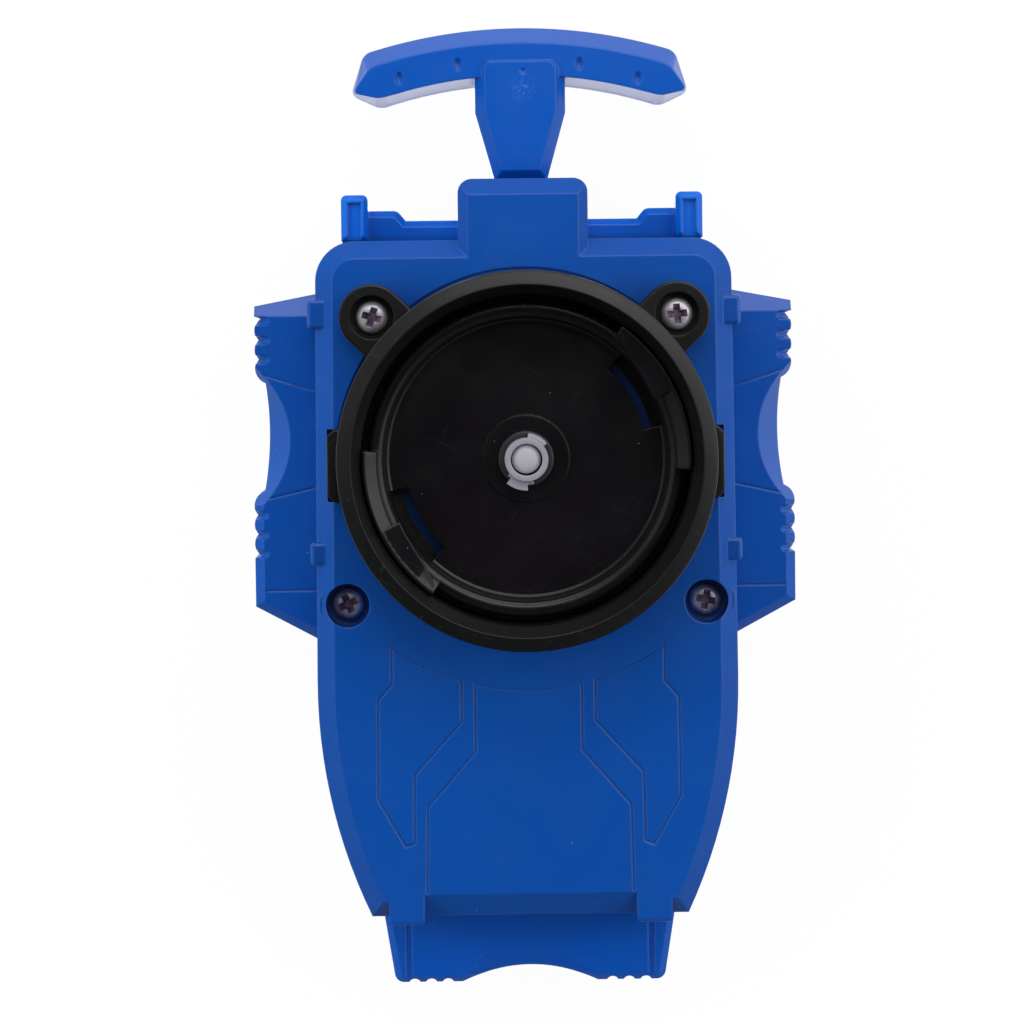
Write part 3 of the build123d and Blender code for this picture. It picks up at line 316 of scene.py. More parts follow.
# Acetal is slippery and a little translucent: milky white, its shadows never quite dark
whiteAcetal = dict(
    blueAbs, color="#9C99A4", deepColor="#94919C", ior=1.48, roughness=0.36, wearGlintColor="#CFCDD4",
    wearGlintAmount=0.4, edgeRadius=0.12 * mm, driftSize=3 * mm, grainDepth=0.008 * mm, markColor="#8C8992",
    speckSize=0.1 * mm, translucency=0.25, scatterColor=(1.0, 0.9, 0.8), scatterDepth=0.6 * mm)
# Glass-free nylon gear stock: warm off-white, waxy
naturalNylon = dict(
    whiteAcetal, color="#CFCBBE", deepColor="#C2BDAE", ior=1.53, roughness=0.42, wearGlintColor="#E2DFD4",
    markColor="#A9A498")

# slot or piece: name, finish it starts from, what differs
plasticFinishes = {
    "case_blue": ("blueAbsCase", blueAbs, {}),
    "backShell": ("blueAbsBackShell", blueAbs, paintedRibGlow),
    # painted light: the grips' blue is a little brighter than the case's, making up for the shade the case
    # casts on them
    "grip_blue": ("blueAbsGrip", blueAbs, {"color": "#03479E", "deepColor": "#024296"}),
    # painted light: the lug's blue is brighter than the case's, making up for the shade the case casts on
    # it
    "lug_blue": ("blueAbsLug", blueAbs, {"color": "#014AAC", "deepColor": "#0146A4", "wearGlintAmount": 0.2}),
    "handle_blue": ("blueAbsHandle", blueAbs,
                    {"color": "#0148A3", "deepColor": "#01449B", "roughness": 0.24, **gateBlush}),
    "ring_black": ("blackAbsRing", blackAbs, {}),
    "disc_black": ("glossBlackAbsDisc", glossAbs, {}),
    "collar_grey": ("greyAbsCollar", blackAbs,
                    {"color": "#2A2A2D", "deepColor": "#242427", "wearGlintColor": "#55555A"}),
    "turret_white": ("whiteAcetalTurret", whiteAcetal, {}),
    # the sleeve takes a darker grey than the pin in it, which is the same acetal
    "sleeve": ("greyedAcetalSleeve", whiteAcetal,
               {"color": "#878490", "deepColor": "#7F7C88", "wearGlintColor": "#B4B2BA"}),
    "bush_acetal": ("whiteAcetalBush", whiteAcetal, {"color": "#D2D2CE", "deepColor": "#C6C6C2"}),
    "gear_nylon": ("naturalNylonGear", naturalNylon, {}),
    "drum_grey": ("greyAbsDrum", blackAbs,
                  {"color": "#4D4F54", "deepColor": "#45474B", "wearGlintColor": "#77797E"}),
}

zincPlate = {
    "color": "#D2D1D6", "tint": "#AFA2B4", "roughness": 0.30, "tintSize": 1.2 * mm, "pitSize": 0.12 * mm,
    "tintLevels": (0.42, 0.68), "polish": 0.06, "dulling": 0.12,   # down and up from the roughness
    "edgeRadius": 0.10 * mm, "markStrength": 0.25, "markDepth": 0.006 * mm,
    "metallic": 0.75,   # the plating's fine crystals scatter part of the light as paint would
}


def platedSteel(name, s):
    # zinc-plated steel: bright silver with the faint violet cast of its passivation, finely pitted
    material, tree, shader = startMaterial(name, metallic=s["metallic"])
    place = addNode(tree, "ShaderNodeTexCoord")
    patches = addNode(tree, "ShaderNodeTexNoise", inputs={"Scale": 1 / s["tintSize"], "Detail": 2.0},
                      links={"Vector": (place, "Object")})
    fade, full = s["tintLevels"]
    share = addNode(tree, "ShaderNodeMapRange", inputs={"From Min": fade, "From Max": full},
                    links={"Value": (patches, "Fac")})
    tint = addNode(tree, "ShaderNodeMix", {"data_type": "RGBA"},
                   inputs={mixFirst: linearColor(s["color"]), mixSecond: linearColor(s["tint"])},
                   links={mixFactor: (share, "Result")})
    tree.links.new(tint.outputs[mixResult], shader.inputs["Base Color"])
    rough = addNode(tree, "ShaderNodeMapRange",
                    inputs={"To Min": s["roughness"] - s["polish"],
                            "To Max": s["roughness"] + s["dulling"]},
                    links={"Value": (patches, "Fac")})
    tree.links.new(rough.outputs["Result"], shader.inputs["Roughness"])
    marks = addNode(tree, "ShaderNodeTexNoise", inputs={"Scale": 1 / s["pitSize"], "Detail": 1.0},
                    links={"Vector": (place, "Object")})
    rounded = addNode(tree, "ShaderNodeBevel", {"samples": 4}, inputs={"Radius": s["edgeRadius"]})
    bump = addNode(tree, "ShaderNodeBump",
                   inputs={"Strength": s["markStrength"], "Distance": s["markDepth"]},
                   links={"Height": (marks, "Fac"), "Normal": (rounded, "Normal")})
    tree.links.new(bump.outputs["Normal"], shader.inputs["Normal"])
    return material


metalFinishes = {
    "screw_steel": ("zincPlatedSteel", {}),
    # the driver's recess: the plating is thin there and its violet cast stronger, and it is painted darker
    # as the recess's shade
    "recess": ("zincPlatedRecess", {"color": "#A592A8", "tint": "#7A5E80", "roughness": 0.36}),
    # ground bar: plain grey steel, the wheel's fine marks run round it
    "shaft_steel": ("groundSteel", {"color": "#A6A6A4", "tint": "#96968F", "roughness": 0.28}),
    # tempered strip and wire: the heat leaves a dark blue-grey oxide
    "spring_steel": ("temperedSpringSteel", {"color": "#6E737C", "tint": "#59606E", "roughness": 0.32}),
}

stringFinish = {
    "color": "#DCDCD6", "shade": "#B4B4AC", "plait": 0.8 * mm, "relief": 0.06 * mm, "reliefStrength": 0.7,
    "wavesPerPlait": 1 / 3.2, "distortion": 1.2, "ior": 1.6, "roughness": 0.62, "threadSheen": 0.25,
}


def braidedPolyester(name, s):
    # a 1 mm cord plaited from bright polyester: small stitches slanting both ways, a soft thread sheen
    material, tree, shader = startMaterial(name, ior=s["ior"])
    place = addNode(tree, "ShaderNodeTexCoord")
    stitches = []
    for slant in (45, -45):
        drawn = addNode(tree, "ShaderNodeMapping", inputs={"Rotation": (0, 0, math.radians(slant))},
                        links={"Vector": (place, "Object")})
        stitches.append(addNode(tree, "ShaderNodeTexWave", {"bands_direction": "X"},
                                inputs={"Scale": s["wavesPerPlait"] / s["plait"],
                                        "Distortion": s["distortion"], "Detail": 1.0, "Detail Scale": 2.0},
                                links={"Vector": (drawn, "Vector")}))
    plait = addNode(tree, "ShaderNodeMath", {"operation": "MAXIMUM"},
                    links={0: (stitches[0], "Fac"), 1: (stitches[1], "Fac")})
    threads = addNode(tree, "ShaderNodeMix", {"data_type": "RGBA"},
                      inputs={mixFirst: linearColor(s["shade"]), mixSecond: linearColor(s["color"])},
                      links={mixFactor: (plait, "Value")})
    tree.links.new(threads.outputs[mixResult], shader.inputs["Base Color"])
    bump = addNode(tree, "ShaderNodeBump",
                   inputs={"Strength": s["reliefStrength"], "Distance": s["relief"]},
                   links={"Height": (plait, "Value")})
    tree.links.new(bump.outputs["Normal"], shader.inputs["Normal"])
    shader.inputs["Roughness"].default_value = s["roughness"]
    shader.inputs["Sheen Weight"].default_value = s["threadSheen"]
    return material


finishes = {"pull_string": braidedPolyester("braidedPolyester", stringFinish)}
for slotName, (name, base, changes) in plasticFinishes.items():
    finishes[slotName] = mouldedPlastic(name, {**base, **changes})
for slotName, (name, changes) in metalFinishes.items():
    finishes[slotName] = platedSteel(name, {**zincPlate, **changes})
slotOf = {part["node"]: part["material_slot"] for part in frame["record"]["subparts"]}
for name, node in frame["nodes"].items():
    node.data.materials.clear()
    node.data.materials.append(finishes["backShell" if name == "back_shell" else slotOf[name]])
print("materials made:", len(finishes))


# Modelling helpers

def startPiece(name):
    piece = bpy.context.object
    piece.name = name
    return piece


def enterEdit():
    bpy.ops.object.mode_set(mode="EDIT")


def leaveEdit():
    bpy.ops.object.mode_set(mode="OBJECT")


def pick(kind, test):
    # in edit mode, selects the faces, edges or corners whose place and direction pass the test
    bpy.ops.mesh.select_mode(type=kind)
    bpy.ops.mesh.select_all(action="DESELECT")
    mesh = bpy.context.edit_object.data
    work = bmesh.from_edit_mesh(mesh)
    toWorld = bpy.context.edit_object.matrix_world
    if kind == "FACE":
        found = [f for f in work.faces if test(toWorld @ f.calc_center_median(), f.normal)]
    elif kind == "EDGE":
        found = []
        for edge in work.edges:
            start, end = (corner.co for corner in edge.verts)
            if test(toWorld @ ((start + end) / 2), (end - start).normalized()):
                found.append(edge)
    else:
        found = [v for v in work.verts if test(toWorld @ v.co, v.normal)]
    for item in found:
        item.select_set(True)
    work.select_flush_mode()
    bmesh.update_edit_mesh(mesh)
    return len(found)


def pickSharp(test, degrees):
    # like pick, but takes only edges whose two faces meet at more than so many degrees
    pick("EDGE", test)
    mesh = bpy.context.edit_object.data
    work = bmesh.from_edit_mesh(mesh)
    for edge in work.edges:
        if edge.select and (len(edge.link_faces) != 2 or edge.calc_face_angle() < math.radians(degrees)):
            edge.select_set(False)
    bmesh.update_edit_mesh(mesh)


def pickLevel(side):
    # the faces that look straight up, 1, or straight down, -1
    pick("FACE", lambda p, n: n.z * side > along)


def extrudeBy(x, y, z):
    bpy.ops.mesh.extrude_region_move(TRANSFORM_OT_translate={"value": (x, y, z)})


def moveBy(x, y, z):
    bpy.ops.transform.translate(value=(x, y, z))


def bevelBy(width, segments=3):
    bpy.ops.mesh.bevel(offset=width, segments=segments, affect="EDGES", clamp_overlap=True)


def startChain(x, y, z):
    # one corner, ready to be drawn on from: a tiny plane merged to its middle
    bpy.ops.mesh.primitive_plane_add(size=mm, location=(x, y, z))
    enterEdit()
    bpy.ops.mesh.select_mode(type="VERT")
    bpy.ops.mesh.merge(type="CENTER")


def drawOn(points):
    # extrudes the chain's last corner from point to point; each point is (x, y, z)
    for before, after in zip(points, points[1:]):
        extrudeBy(*(b - a for a, b in zip(before, after)))


def spinBy(degrees, centre, steps):
    # turns what is selected round an upright axis; the operator itself counts clockwise
    bpy.ops.mesh.spin(steps=steps, angle=math.radians(-degrees), center=centre, axis=(0, 0, 1))


def weldAll():
    bpy.ops.mesh.select_all(action="SELECT")
    bpy.ops.mesh.remove_doubles(threshold=weld)


def closeFace():
    weldAll()
    bpy.ops.mesh.edge_face_add()


def outwards():
    weldAll()
    bpy.ops.mesh.normals_make_consistent(inside=False)


def spinSection(name, section, start=0.0, sweep=360.0, steps=96):
    # turns a closed section, given as (radius, height) corners, about the cup's axis
    direction = math.radians(start)
    points = [(r * math.cos(direction), r * math.sin(direction), z) for r, z in section]
    startChain(*points[0])
    drawOn(points + points[:1])
    weldAll()
    if sweep < 360:
        bpy.ops.mesh.edge_face_add()
    spinBy(sweep, (0, 0, 0), steps)
    outwards()
    leaveEdit()
    return startPiece(name)


def bevelCircle(radius, height, width, segments=3):
    # rounds the edge that runs round the cup's axis at that radius and height
    def onCircle(p, direction):
        away = math.hypot(p.x, p.y)   # an edge's middle is a little inside the circle
        return abs(away - radius) < 6 * snug and abs(p.z - height) < 2 * snug and abs(direction.z) < across

    if pick("EDGE", onCircle):
        bevelBy(width, segments)


def applyPlace(piece):
    bpy.ops.object.select_all(action="DESELECT")
    piece.select_set(True)
    bpy.context.view_layer.objects.active = piece
    bpy.ops.object.transform_apply(location=True, rotation=True, scale=True)


def applyModifier(piece, kind, **settings):
    bpy.context.view_layer.objects.active = piece
    modifier = piece.modifiers.new(kind.title(), kind)
    for name, value in settings.items():
        setattr(modifier, name, value)
    bpy.ops.object.modifier_apply(modifier=modifier.name)


def mirrorAcross(piece):
    # turns a right-hand piece into the left-hand one
    applyPlace(piece)
    piece.scale.x = -1
    applyPlace(piece)
    enterEdit()
    outwards()
    leaveEdit()


def combine(piece, tool, operation):
    # adds a second solid to the piece or cuts it away, and drops the tool
    applyPlace(piece)
    applyPlace(tool)
    applyModifier(piece, "BOOLEAN", operation=operation, object=tool, solver="EXACT")
    bpy.data.objects.remove(tool)


def addBlock(low, high):
    middle = [(a + b) / 2 for a, b in zip(low, high)]
    bpy.ops.mesh.primitive_cube_add(size=1, location=middle, scale=[b - a for a, b in zip(low, high)])
    return startPiece("block")


def addPost(x, y, radius, low, high, vertices=64):
    bpy.ops.mesh.primitive_cylinder_add(vertices=vertices, radius=radius, depth=high - low,
                                        location=(x, y, (low + high) / 2))
    return startPiece("post")


def addBead(x, y, z, radius, segments, shape=(1, 1, 1)):
    bpy.ops.mesh.primitive_uv_sphere_add(segments=segments, ring_count=segments // 2, radius=radius,
                                         location=(x, y, z), scale=shape)
    return startPiece("bead")


def addRod(x, low, high, z, radius, vertices):
    # a round bar along Y
    bpy.ops.mesh.primitive_cylinder_add(vertices=vertices, radius=radius, depth=high - low,
                                        location=(x, (low + high) / 2, z), rotation=(math.pi / 2, 0, 0))
    return startPiece("rod")


def softenEdges(piece, width, segments=2, angle=28):
    applyPlace(piece)
    applyModifier(piece, "BEVEL", width=width, segments=segments, limit_method="ANGLE",
                  angle_limit=math.radians(angle), use_clamp_overlap=True)


def smoothPiece(piece, angle, weight=100):
    # the curved faces run into each other, the broad faces stay flat to the eye
    bpy.ops.object.shade_smooth_by_angle(angle=math.radians(angle))
    applyModifier(piece, "WEIGHTED_NORMAL", keep_sharp=True, weight=weight)


def standFor(node):
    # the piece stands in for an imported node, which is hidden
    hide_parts(node)


def finishPiece(piece, body, slotName, node, finish=None, smoothAngle=32):
    applyPlace(piece)
    piece.data.materials.clear()
    piece.data.materials.append(finishes[finish or slotName])
    smoothPiece(piece, smoothAngle)
    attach(piece, body)
    standFor(node)


def copyPiece(source, name):
    piece = source.copy()
    piece.data = source.data.copy()
    piece.name = name
    bpy.context.scene.collection.objects.link(piece)
    return piece


def copyNode(node, name):
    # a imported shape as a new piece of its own, welded so that it can be cut
    piece = copyPiece(frame["nodes"][node], name)
    piece.parent = None
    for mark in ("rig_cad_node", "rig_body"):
        if mark in piece:
            del piece[mark]
    applyPlace(piece)
    enterEdit()
    weldAll()
    leaveEdit()
    return piece


# Screws: pan heads with a tapered cross recess, one modelled and four copied

screwSettings = {
    "headRadius": 2.02 * mm, "headHeight": 1.5 * mm, "crown": 1.15 * mm, "shankRadius": 1.13 * mm,
    "pointShare": 0.15,      # of the shank's width, left at its tip
    "recessLength": 3.15 * mm, "recessWidth": 0.92 * mm, "recessDepth": 1.15 * mm,
    "recessFoot": (0.35, 0.5), "recessMouth": (1.25, 1.35),   # length and width there against the middle's
    "clearance": 0.03 * mm, "smoothAngle": 28,
    "ringTurns": (-17.0, 5.0), "caseTurns": (24.0, -12.0),   # degrees, left and right
}


def modelScrew(s, length):
    # stands on the origin: the head's seat is at z = 0, the shank hangs below
    head = addPost(0, 0, s["headRadius"], 0, s["headHeight"], vertices=48)
    enterEdit()
    pickLevel(-1)
    bpy.ops.mesh.inset(thickness=s["headRadius"] - s["shankRadius"])
    extrudeBy(0, 0, -length + s["shankRadius"])
    extrudeBy(0, 0, -s["shankRadius"])
    bpy.ops.transform.resize(value=(s["pointShare"], s["pointShare"], 1))
    pick("EDGE", lambda p, d: p.z > s["headHeight"] - snug and abs(d.z) < across)
    bevelBy(s["crown"], 7)
    leaveEdit()
    halfLength, halfWidth = s["recessLength"] / 2, s["recessWidth"] / 2
    for quarter in (0, 90):
        blade = addBlock((-halfLength, -halfWidth, s["headHeight"] - s["recessDepth"]),
                         (halfLength, halfWidth, s["headHeight"] + mm))
        enterEdit()
        for side, shares in ((-1, s["recessFoot"]), (1, s["recessMouth"])):
            pickLevel(side)
            bpy.ops.transform.resize(value=(*shares, 1))
        leaveEdit()
        blade.rotation_euler.z = math.radians(quarter)
        combine(head, blade, "DIFFERENCE")
    return head


def pickRecess(s):
    # the recess's walls look towards its middle, its floor lies deep in the head
    floor = s["headHeight"] - s["recessDepth"]
    upright, reach = 0.97, s["recessLength"] / 2 + 0.3 * mm

    def inRecess(p, n):
        if n.z > upright:
            return 10 * snug < p.z < floor + 5 * snug
        return p.z > floor - snug and math.hypot(p.x, p.y) < reach and p.x * n.x + p.y * n.y < 2 * snug

    pick("FACE", inRecess)


def placeScrews(s, node, turns, prefix):
    low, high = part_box(node)
    reach = s["headRadius"] + s["clearance"]
    seat = high.z - s["headHeight"]
    model = modelScrew(s, seat - low.z)
    model.data.materials.append(finishes["screw_steel"])
    model.data.materials.append(finishes["recess"])
    enterEdit()
    pickRecess(s)
    model.active_material_index = 1
    bpy.ops.object.material_slot_assign()
    leaveEdit()
    for x, angle, side in ((low.x + reach, turns[0], "Left"), (high.x - reach, turns[1], "Right")):
        screw = copyPiece(model, prefix + side)
        screw.rotation_euler.z = math.radians(angle)
        screw.location = (x, (low.y + high.y) / 2, seat)
        applyPlace(screw)
        smoothPiece(screw, s["smoothAngle"], weight=60)
        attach(screw, "housing")
        standFor(node)
    bpy.data.objects.remove(model)


placeScrews(screwSettings, "ring_screws", screwSettings["ringTurns"], "ringScrew")
placeScrews(screwSettings, "case_screws", screwSettings["caseTurns"], "caseScrew")
print("screws placed")


# Guard ring: a turned wall with two screw ears and two side tabs

ringSettings = {
    "inner": 20.4 * mm, "flatInner": 21.5 * mm, "outer": 23.3 * mm, "slope": 3.5 * mm,
    "rimLean": 0.40 * mm,     # the rim falls a little towards its outer edge
    "outerEdge": 0.32 * mm, "flatEdge": 0.16 * mm, "slopeEdge": 0.4 * mm,
    "flangeInner": 16.1 * mm, "flange": 0.35 * mm,   # a thin foot that reaches in under the disc's edge
    "earX": 18.9 * mm, "earY": 17.7 * mm, "earRadius": 4.1 * mm, "earTop": 29.4 * mm,
    "seatRadius": 2.75 * mm, "seat": 27.6 * mm, "screwBore": 1.2 * mm, "edge": 0.3 * mm,
    "tabHalf": 4.55 * mm, "tabMiddle": -0.75 * mm, "tabReach": 24.8 * mm, "tabRoot": 21.4 * mm,
    "tabTop": 27.6 * mm, "tabDrop": 1.5 * mm, "tabCorner": 0.9 * mm,
    "facets": 160,
}


def modelEar(s, side, base):
    # a lobe that runs out from the wall, round at its end
    direction = math.atan2(s["earY"], s["earX"])
    aside = Vector((-math.sin(direction), math.cos(direction), 0)) * s["earRadius"]
    outward = Vector((math.cos(direction), math.sin(direction), 0)) * s["earRadius"]
    centre = Vector((s["earX"], s["earY"], base))
    root = centre + aside - outward
    startChain(*root)
    drawOn([tuple(root), tuple(centre + aside)])
    spinBy(-180, tuple(centre), 32)
    drawOn([tuple(centre - aside), tuple(centre - aside - outward), tuple(root)])
    closeFace()
    extrudeBy(0, 0, s["earTop"] - base)
    outwards()
    pick("EDGE", lambda p, d: p.z > s["earTop"] - snug)
    bevelBy(s["edge"], 3)
    leaveEdit()
    ear = startPiece("ear")
    if side < 0:
        mirrorAcross(ear)
    return ear


def modelTab(s, side, base):
    tab = addBlock((s["tabRoot"], s["tabMiddle"] - s["tabHalf"], base - s["tabDrop"]),
                   (s["tabReach"], s["tabMiddle"] + s["tabHalf"], s["tabTop"]))
    enterEdit()
    pick("EDGE", lambda p, d: abs(d.z) > along and p.x > s["tabReach"] - snug)
    bevelBy(s["tabCorner"], 1)
    pick("EDGE", lambda p, d: p.z > s["tabTop"] - snug and p.x > s["tabRoot"] + snug)
    bevelBy(s["edge"], 2)
    leaveEdit()
    if side < 0:
        mirrorAcross(tab)
    return tab


def modelRing(s):
    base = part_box("front_shell")[1].z
    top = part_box("guard_ring")[1].z
    outerTop, slopeFoot, flangeTop = top - s["rimLean"], top - s["slope"], base + s["flange"]
    section = [(s["flangeInner"], base), (s["outer"], base), (s["outer"], outerTop), (s["flatInner"], top),
               (s["inner"], slopeFoot), (s["inner"], flangeTop), (s["flangeInner"], flangeTop)]
    ring = spinSection("guardRing", section, steps=s["facets"])
    enterEdit()
    bevelCircle(s["outer"], outerTop, s["outerEdge"], 3)
    bevelCircle(s["flatInner"], top, s["flatEdge"], 2)
    bevelCircle(s["inner"], slopeFoot, s["slopeEdge"], 3)
    leaveEdit()
    wallMiddle = (s["inner"] + s["outer"]) / 2   # ears and tabs end inside the wall
    for side in (1, -1):
        ear = modelEar(s, side, base)
        combine(ear, addPost(0, 0, wallMiddle, base - mm, top, s["facets"]), "DIFFERENCE")
        for radius, depth in ((s["seatRadius"], s["seat"]), (s["screwBore"], base - mm)):
            combine(ear, addPost(side * s["earX"], s["earY"], radius, depth, top), "DIFFERENCE")
        combine(ring, ear, "UNION")
        tab = modelTab(s, side, base)
        combine(tab, addPost(0, 0, wallMiddle, base - 2 * s["tabDrop"], top, s["facets"]), "DIFFERENCE")
        combine(ring, tab, "UNION")
    finishPiece(ring, "housing", "ring_black", "guard_ring")


modelRing(ringSettings)
print("guard ring modelled")


# Hook disc: a dish with a hub pad, two windows and two hooked prongs

discSettings = {
    "inner": 17.5 * mm, "outer": 19.6 * mm, "floor": 28.2 * mm, "rim": 31.5 * mm, "hub": 2.75 * mm,
    "outerRounding": 0.80 * mm, "innerRounding": 1.0 * mm, "floorRounding": 0.6 * mm,
    "padRadius": 5.4 * mm, "pad": 28.5 * mm,
    "prongInner": 18.4 * mm, "prongOuter": 20.2 * mm, "prongRoot": 30.0 * mm,
    "prongStart": -4, "prongEnd": 54,   # degrees
    "wallEdge": 0.45 * mm, "wallFall": 0.75 * mm, "prongEdge": 0.12 * mm,
    "lipLow": 33.7 * mm, "lipDrop": 0.1 * mm, "roofFall": 0.15 * mm,
    # how the lip narrows towards its leading end: degrees, inner radius in mm
    "lipCurve": ((25, 17.3), (33, 17.4), (40, 17.6), (46, 18.0), (50, 18.5), (52, 19.0), (53, 19.5)),
    "windowInner": 15.0 * mm, "windowOuter": 17.3 * mm, "windowStart": 13, "windowSweep": 34,
    "keyLength": 6.9 * mm, "keyWidth": 1.7 * mm, "keyAngle": 68,   # the slot for the shaft's cross key
}


def modelWall(s, half, top):
    # a piece of wall on the disc's edge, flat on top and falling inwards
    section = [(s["prongOuter"], s["prongRoot"]), (s["prongOuter"], top),
               (s["prongOuter"] - s["wallEdge"], top), (s["prongInner"], top - s["wallFall"]),
               (s["prongInner"], s["prongRoot"])]
    wall = spinSection("prong", section, start=half + s["prongStart"],
                       sweep=s["prongEnd"] - s["prongStart"], steps=40)
    softenEdges(wall, s["prongEdge"], 3, 35)
    return wall


def modelLip(s, half, top):
    # the hook itself: a lip that stands in from the wall, under which a top's hub turns
    inner, outer = s["lipCurve"][0][1] * mm, s["prongOuter"] - s["wallEdge"] / 2
    lipTop = top - s["lipDrop"]
    first, last = s["lipCurve"][0][0], s["lipCurve"][-1][0]
    section = [(inner, s["lipLow"]), (outer, s["lipLow"]), (outer, lipTop), (inner, lipTop - s["roofFall"])]
    lip = spinSection("lip", section, start=half + first, sweep=last - first, steps=last - first)

    def atInnerEdge(p, degrees):
        direction = math.radians(half + degrees)
        aside = p.x * math.sin(direction) - p.y * math.cos(direction)
        return abs(aside) < snug and math.hypot(p.x, p.y) < inner + 5 * snug

    enterEdit()
    # the roof rises as the lip grows narrower
    for (fromAngle, fromRadius), (toAngle, toRadius) in zip(s["lipCurve"], s["lipCurve"][1:]):
        for degrees in range(fromAngle + 1, toAngle + 1):
            share = (degrees - fromAngle) / (toAngle - fromAngle)
            radius = (fromRadius + (toRadius - fromRadius) * share) * mm
            pick("VERT", lambda p, n: atInnerEdge(p, degrees) and p.z > s["lipLow"] + 10 * snug)
            moveBy(0, 0, s["roofFall"] * (radius - inner) / (outer - inner))
            pick("VERT", lambda p, n: atInnerEdge(p, degrees))
            bpy.ops.transform.resize(value=[radius / inner] * 2 + [1], center_override=(0, 0, 0))
    leaveEdit()
    softenEdges(lip, s["prongEdge"], 3, 35)
    return lip


def modelDisc(s):
    low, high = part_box("hook_disc")
    below = low.z - mm
    section = [(s["hub"], low.z), (s["outer"], low.z), (s["outer"], s["rim"]), (s["inner"], s["rim"]),
               (s["inner"], s["floor"]), (s["padRadius"], s["floor"]), (s["padRadius"], s["pad"]),
               (s["hub"], s["pad"])]
    disc = spinSection("hookDisc", section, steps=144)
    enterEdit()
    bevelCircle(s["outer"], s["rim"], s["outerRounding"], 5)
    bevelCircle(s["inner"], s["rim"], s["innerRounding"], 6)
    bevelCircle(s["inner"], s["floor"], s["floorRounding"], 4)
    leaveEdit()
    opening = [(s["windowInner"], below), (s["windowOuter"], below), (s["windowOuter"], s["rim"]),
               (s["windowInner"], s["rim"])]
    for half in (0, 180):
        window = spinSection("window", opening, start=half + s["windowStart"], sweep=s["windowSweep"],
                             steps=24)
        combine(disc, window, "DIFFERENCE")
        combine(disc, modelWall(s, half, high.z), "UNION")
        combine(disc, modelLip(s, half, high.z), "UNION")
    key = addBlock((-s["keyLength"] / 2, -s["keyWidth"] / 2, below),
                   (s["keyLength"] / 2, s["keyWidth"] / 2, s["rim"]))
    key.rotation_euler.z = math.radians(s["keyAngle"])
    combine(disc, key, "DIFFERENCE")
    finishPiece(disc, "turret", "disc_black", "hook_disc")


modelDisc(discSettings)
print("hook disc modelled")


# Collar, turret sleeve and centre pin

hubSettings = {
    "bore": 2.75 * mm, "collarRadius": 3.45 * mm, "collarEdge": 0.18 * mm,
    "sleeveInner": 1.96 * mm, "sleeveOuter": 2.7 * mm, "outerEdge": 0.14 * mm, "innerEdge": 0.07 * mm,
    "cut": 28.9 * mm, "cutReach": 5 * mm, "overlap": 0.4 * mm,
    # start and sweep in degrees, reach, how far below the sleeve's end
    "lobes": ((38, 48, 3.22 * mm, 0.35 * mm), (230, 42, 3.8 * mm, 0.35 * mm),
              (220, 12, 3.0 * mm, 0.70 * mm), (270, 17, 3.12 * mm, 0.70 * mm)),
    "lobeLow": 29.8 * mm, "lobeRoot": 2.26 * mm,
    "pinFoot": 1.9 * mm, "pinRadius": 1.80 * mm, "pinShoulder": 29.5 * mm,
    "noseLength": 0.55 * mm,
    "nose": ((1.35 * mm, 0.2 * mm), (0.8 * mm, 0.04 * mm)),   # radius, how far below the end
    "pinLean": (-0.04 * mm, 0.088 * mm), "pinTravel": 2.5 * mm, "pinSmoothAngle": 50,
}


def modelCollar(s):
    low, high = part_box("hub_collar")
    section = [(s["bore"], low.z), (s["collarRadius"], low.z), (s["collarRadius"], high.z),
               (s["bore"], high.z)]
    collar = spinSection("hubCollar", section, steps=64)
    enterEdit()
    bevelCircle(s["collarRadius"], high.z, s["collarEdge"], 3)
    leaveEdit()
    finishPiece(collar, "turret", "collar_grey", "hub_collar")


def modelShaft(s):
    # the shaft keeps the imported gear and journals; its visible end is turned anew with concentric lobes
    shaft = copyNode("turret_shaft", "turretShaft")
    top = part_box("turret_shaft")[1].z
    end = addBlock((-s["cutReach"], -s["cutReach"], s["cut"]), (s["cutReach"], s["cutReach"], top + mm))
    combine(shaft, end, "DIFFERENCE")
    foot = s["cut"] - s["overlap"]
    section = [(s["sleeveInner"], foot), (s["sleeveOuter"], foot), (s["sleeveOuter"], top),
               (s["sleeveInner"], top)]
    sleeve = spinSection("sleeve", section, steps=72)
    for start, sweep, reach, drop in s["lobes"]:
        section = [(s["lobeRoot"], s["lobeLow"]), (reach, s["lobeLow"]), (reach, top - drop),
                   (s["lobeRoot"], top - drop)]
        combine(sleeve, spinSection("lobe", section, start=start, sweep=sweep, steps=14), "UNION")
    enterEdit()
    bevelCircle(s["sleeveOuter"], top, s["outerEdge"], 2)
    bevelCircle(s["sleeveInner"], top, s["innerEdge"], 2)
    leaveEdit()
    combine(shaft, sleeve, "UNION")
    finishPiece(shaft, "turret", "turret_white", "turret_shaft", finish="sleeve")


def modelPin(s):
    low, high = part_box("center_pin")
    section = [(0, low.z), (s["pinFoot"], low.z), (s["pinFoot"], s["pinShoulder"]),
               (s["pinRadius"], s["pinShoulder"]), (s["pinRadius"], high.z - s["noseLength"])]
    section += [(radius, high.z - drop) for radius, drop in s["nose"]] + [(0, high.z)]
    pin = spinSection("centerPin", section, steps=48)
    enterEdit()
    # the free end of the pin stands a little off centre, but reaches no further than its foot does
    widest = s["pinRadius"] + snug
    pick("VERT", lambda p, n: p.z > s["pinShoulder"] - snug and math.hypot(p.x, p.y) < widest)
    moveBy(*s["pinLean"], 0)
    leaveEdit()
    finishPiece(pin, "plunger", "turret_white", "center_pin", smoothAngle=s["pinSmoothAngle"])


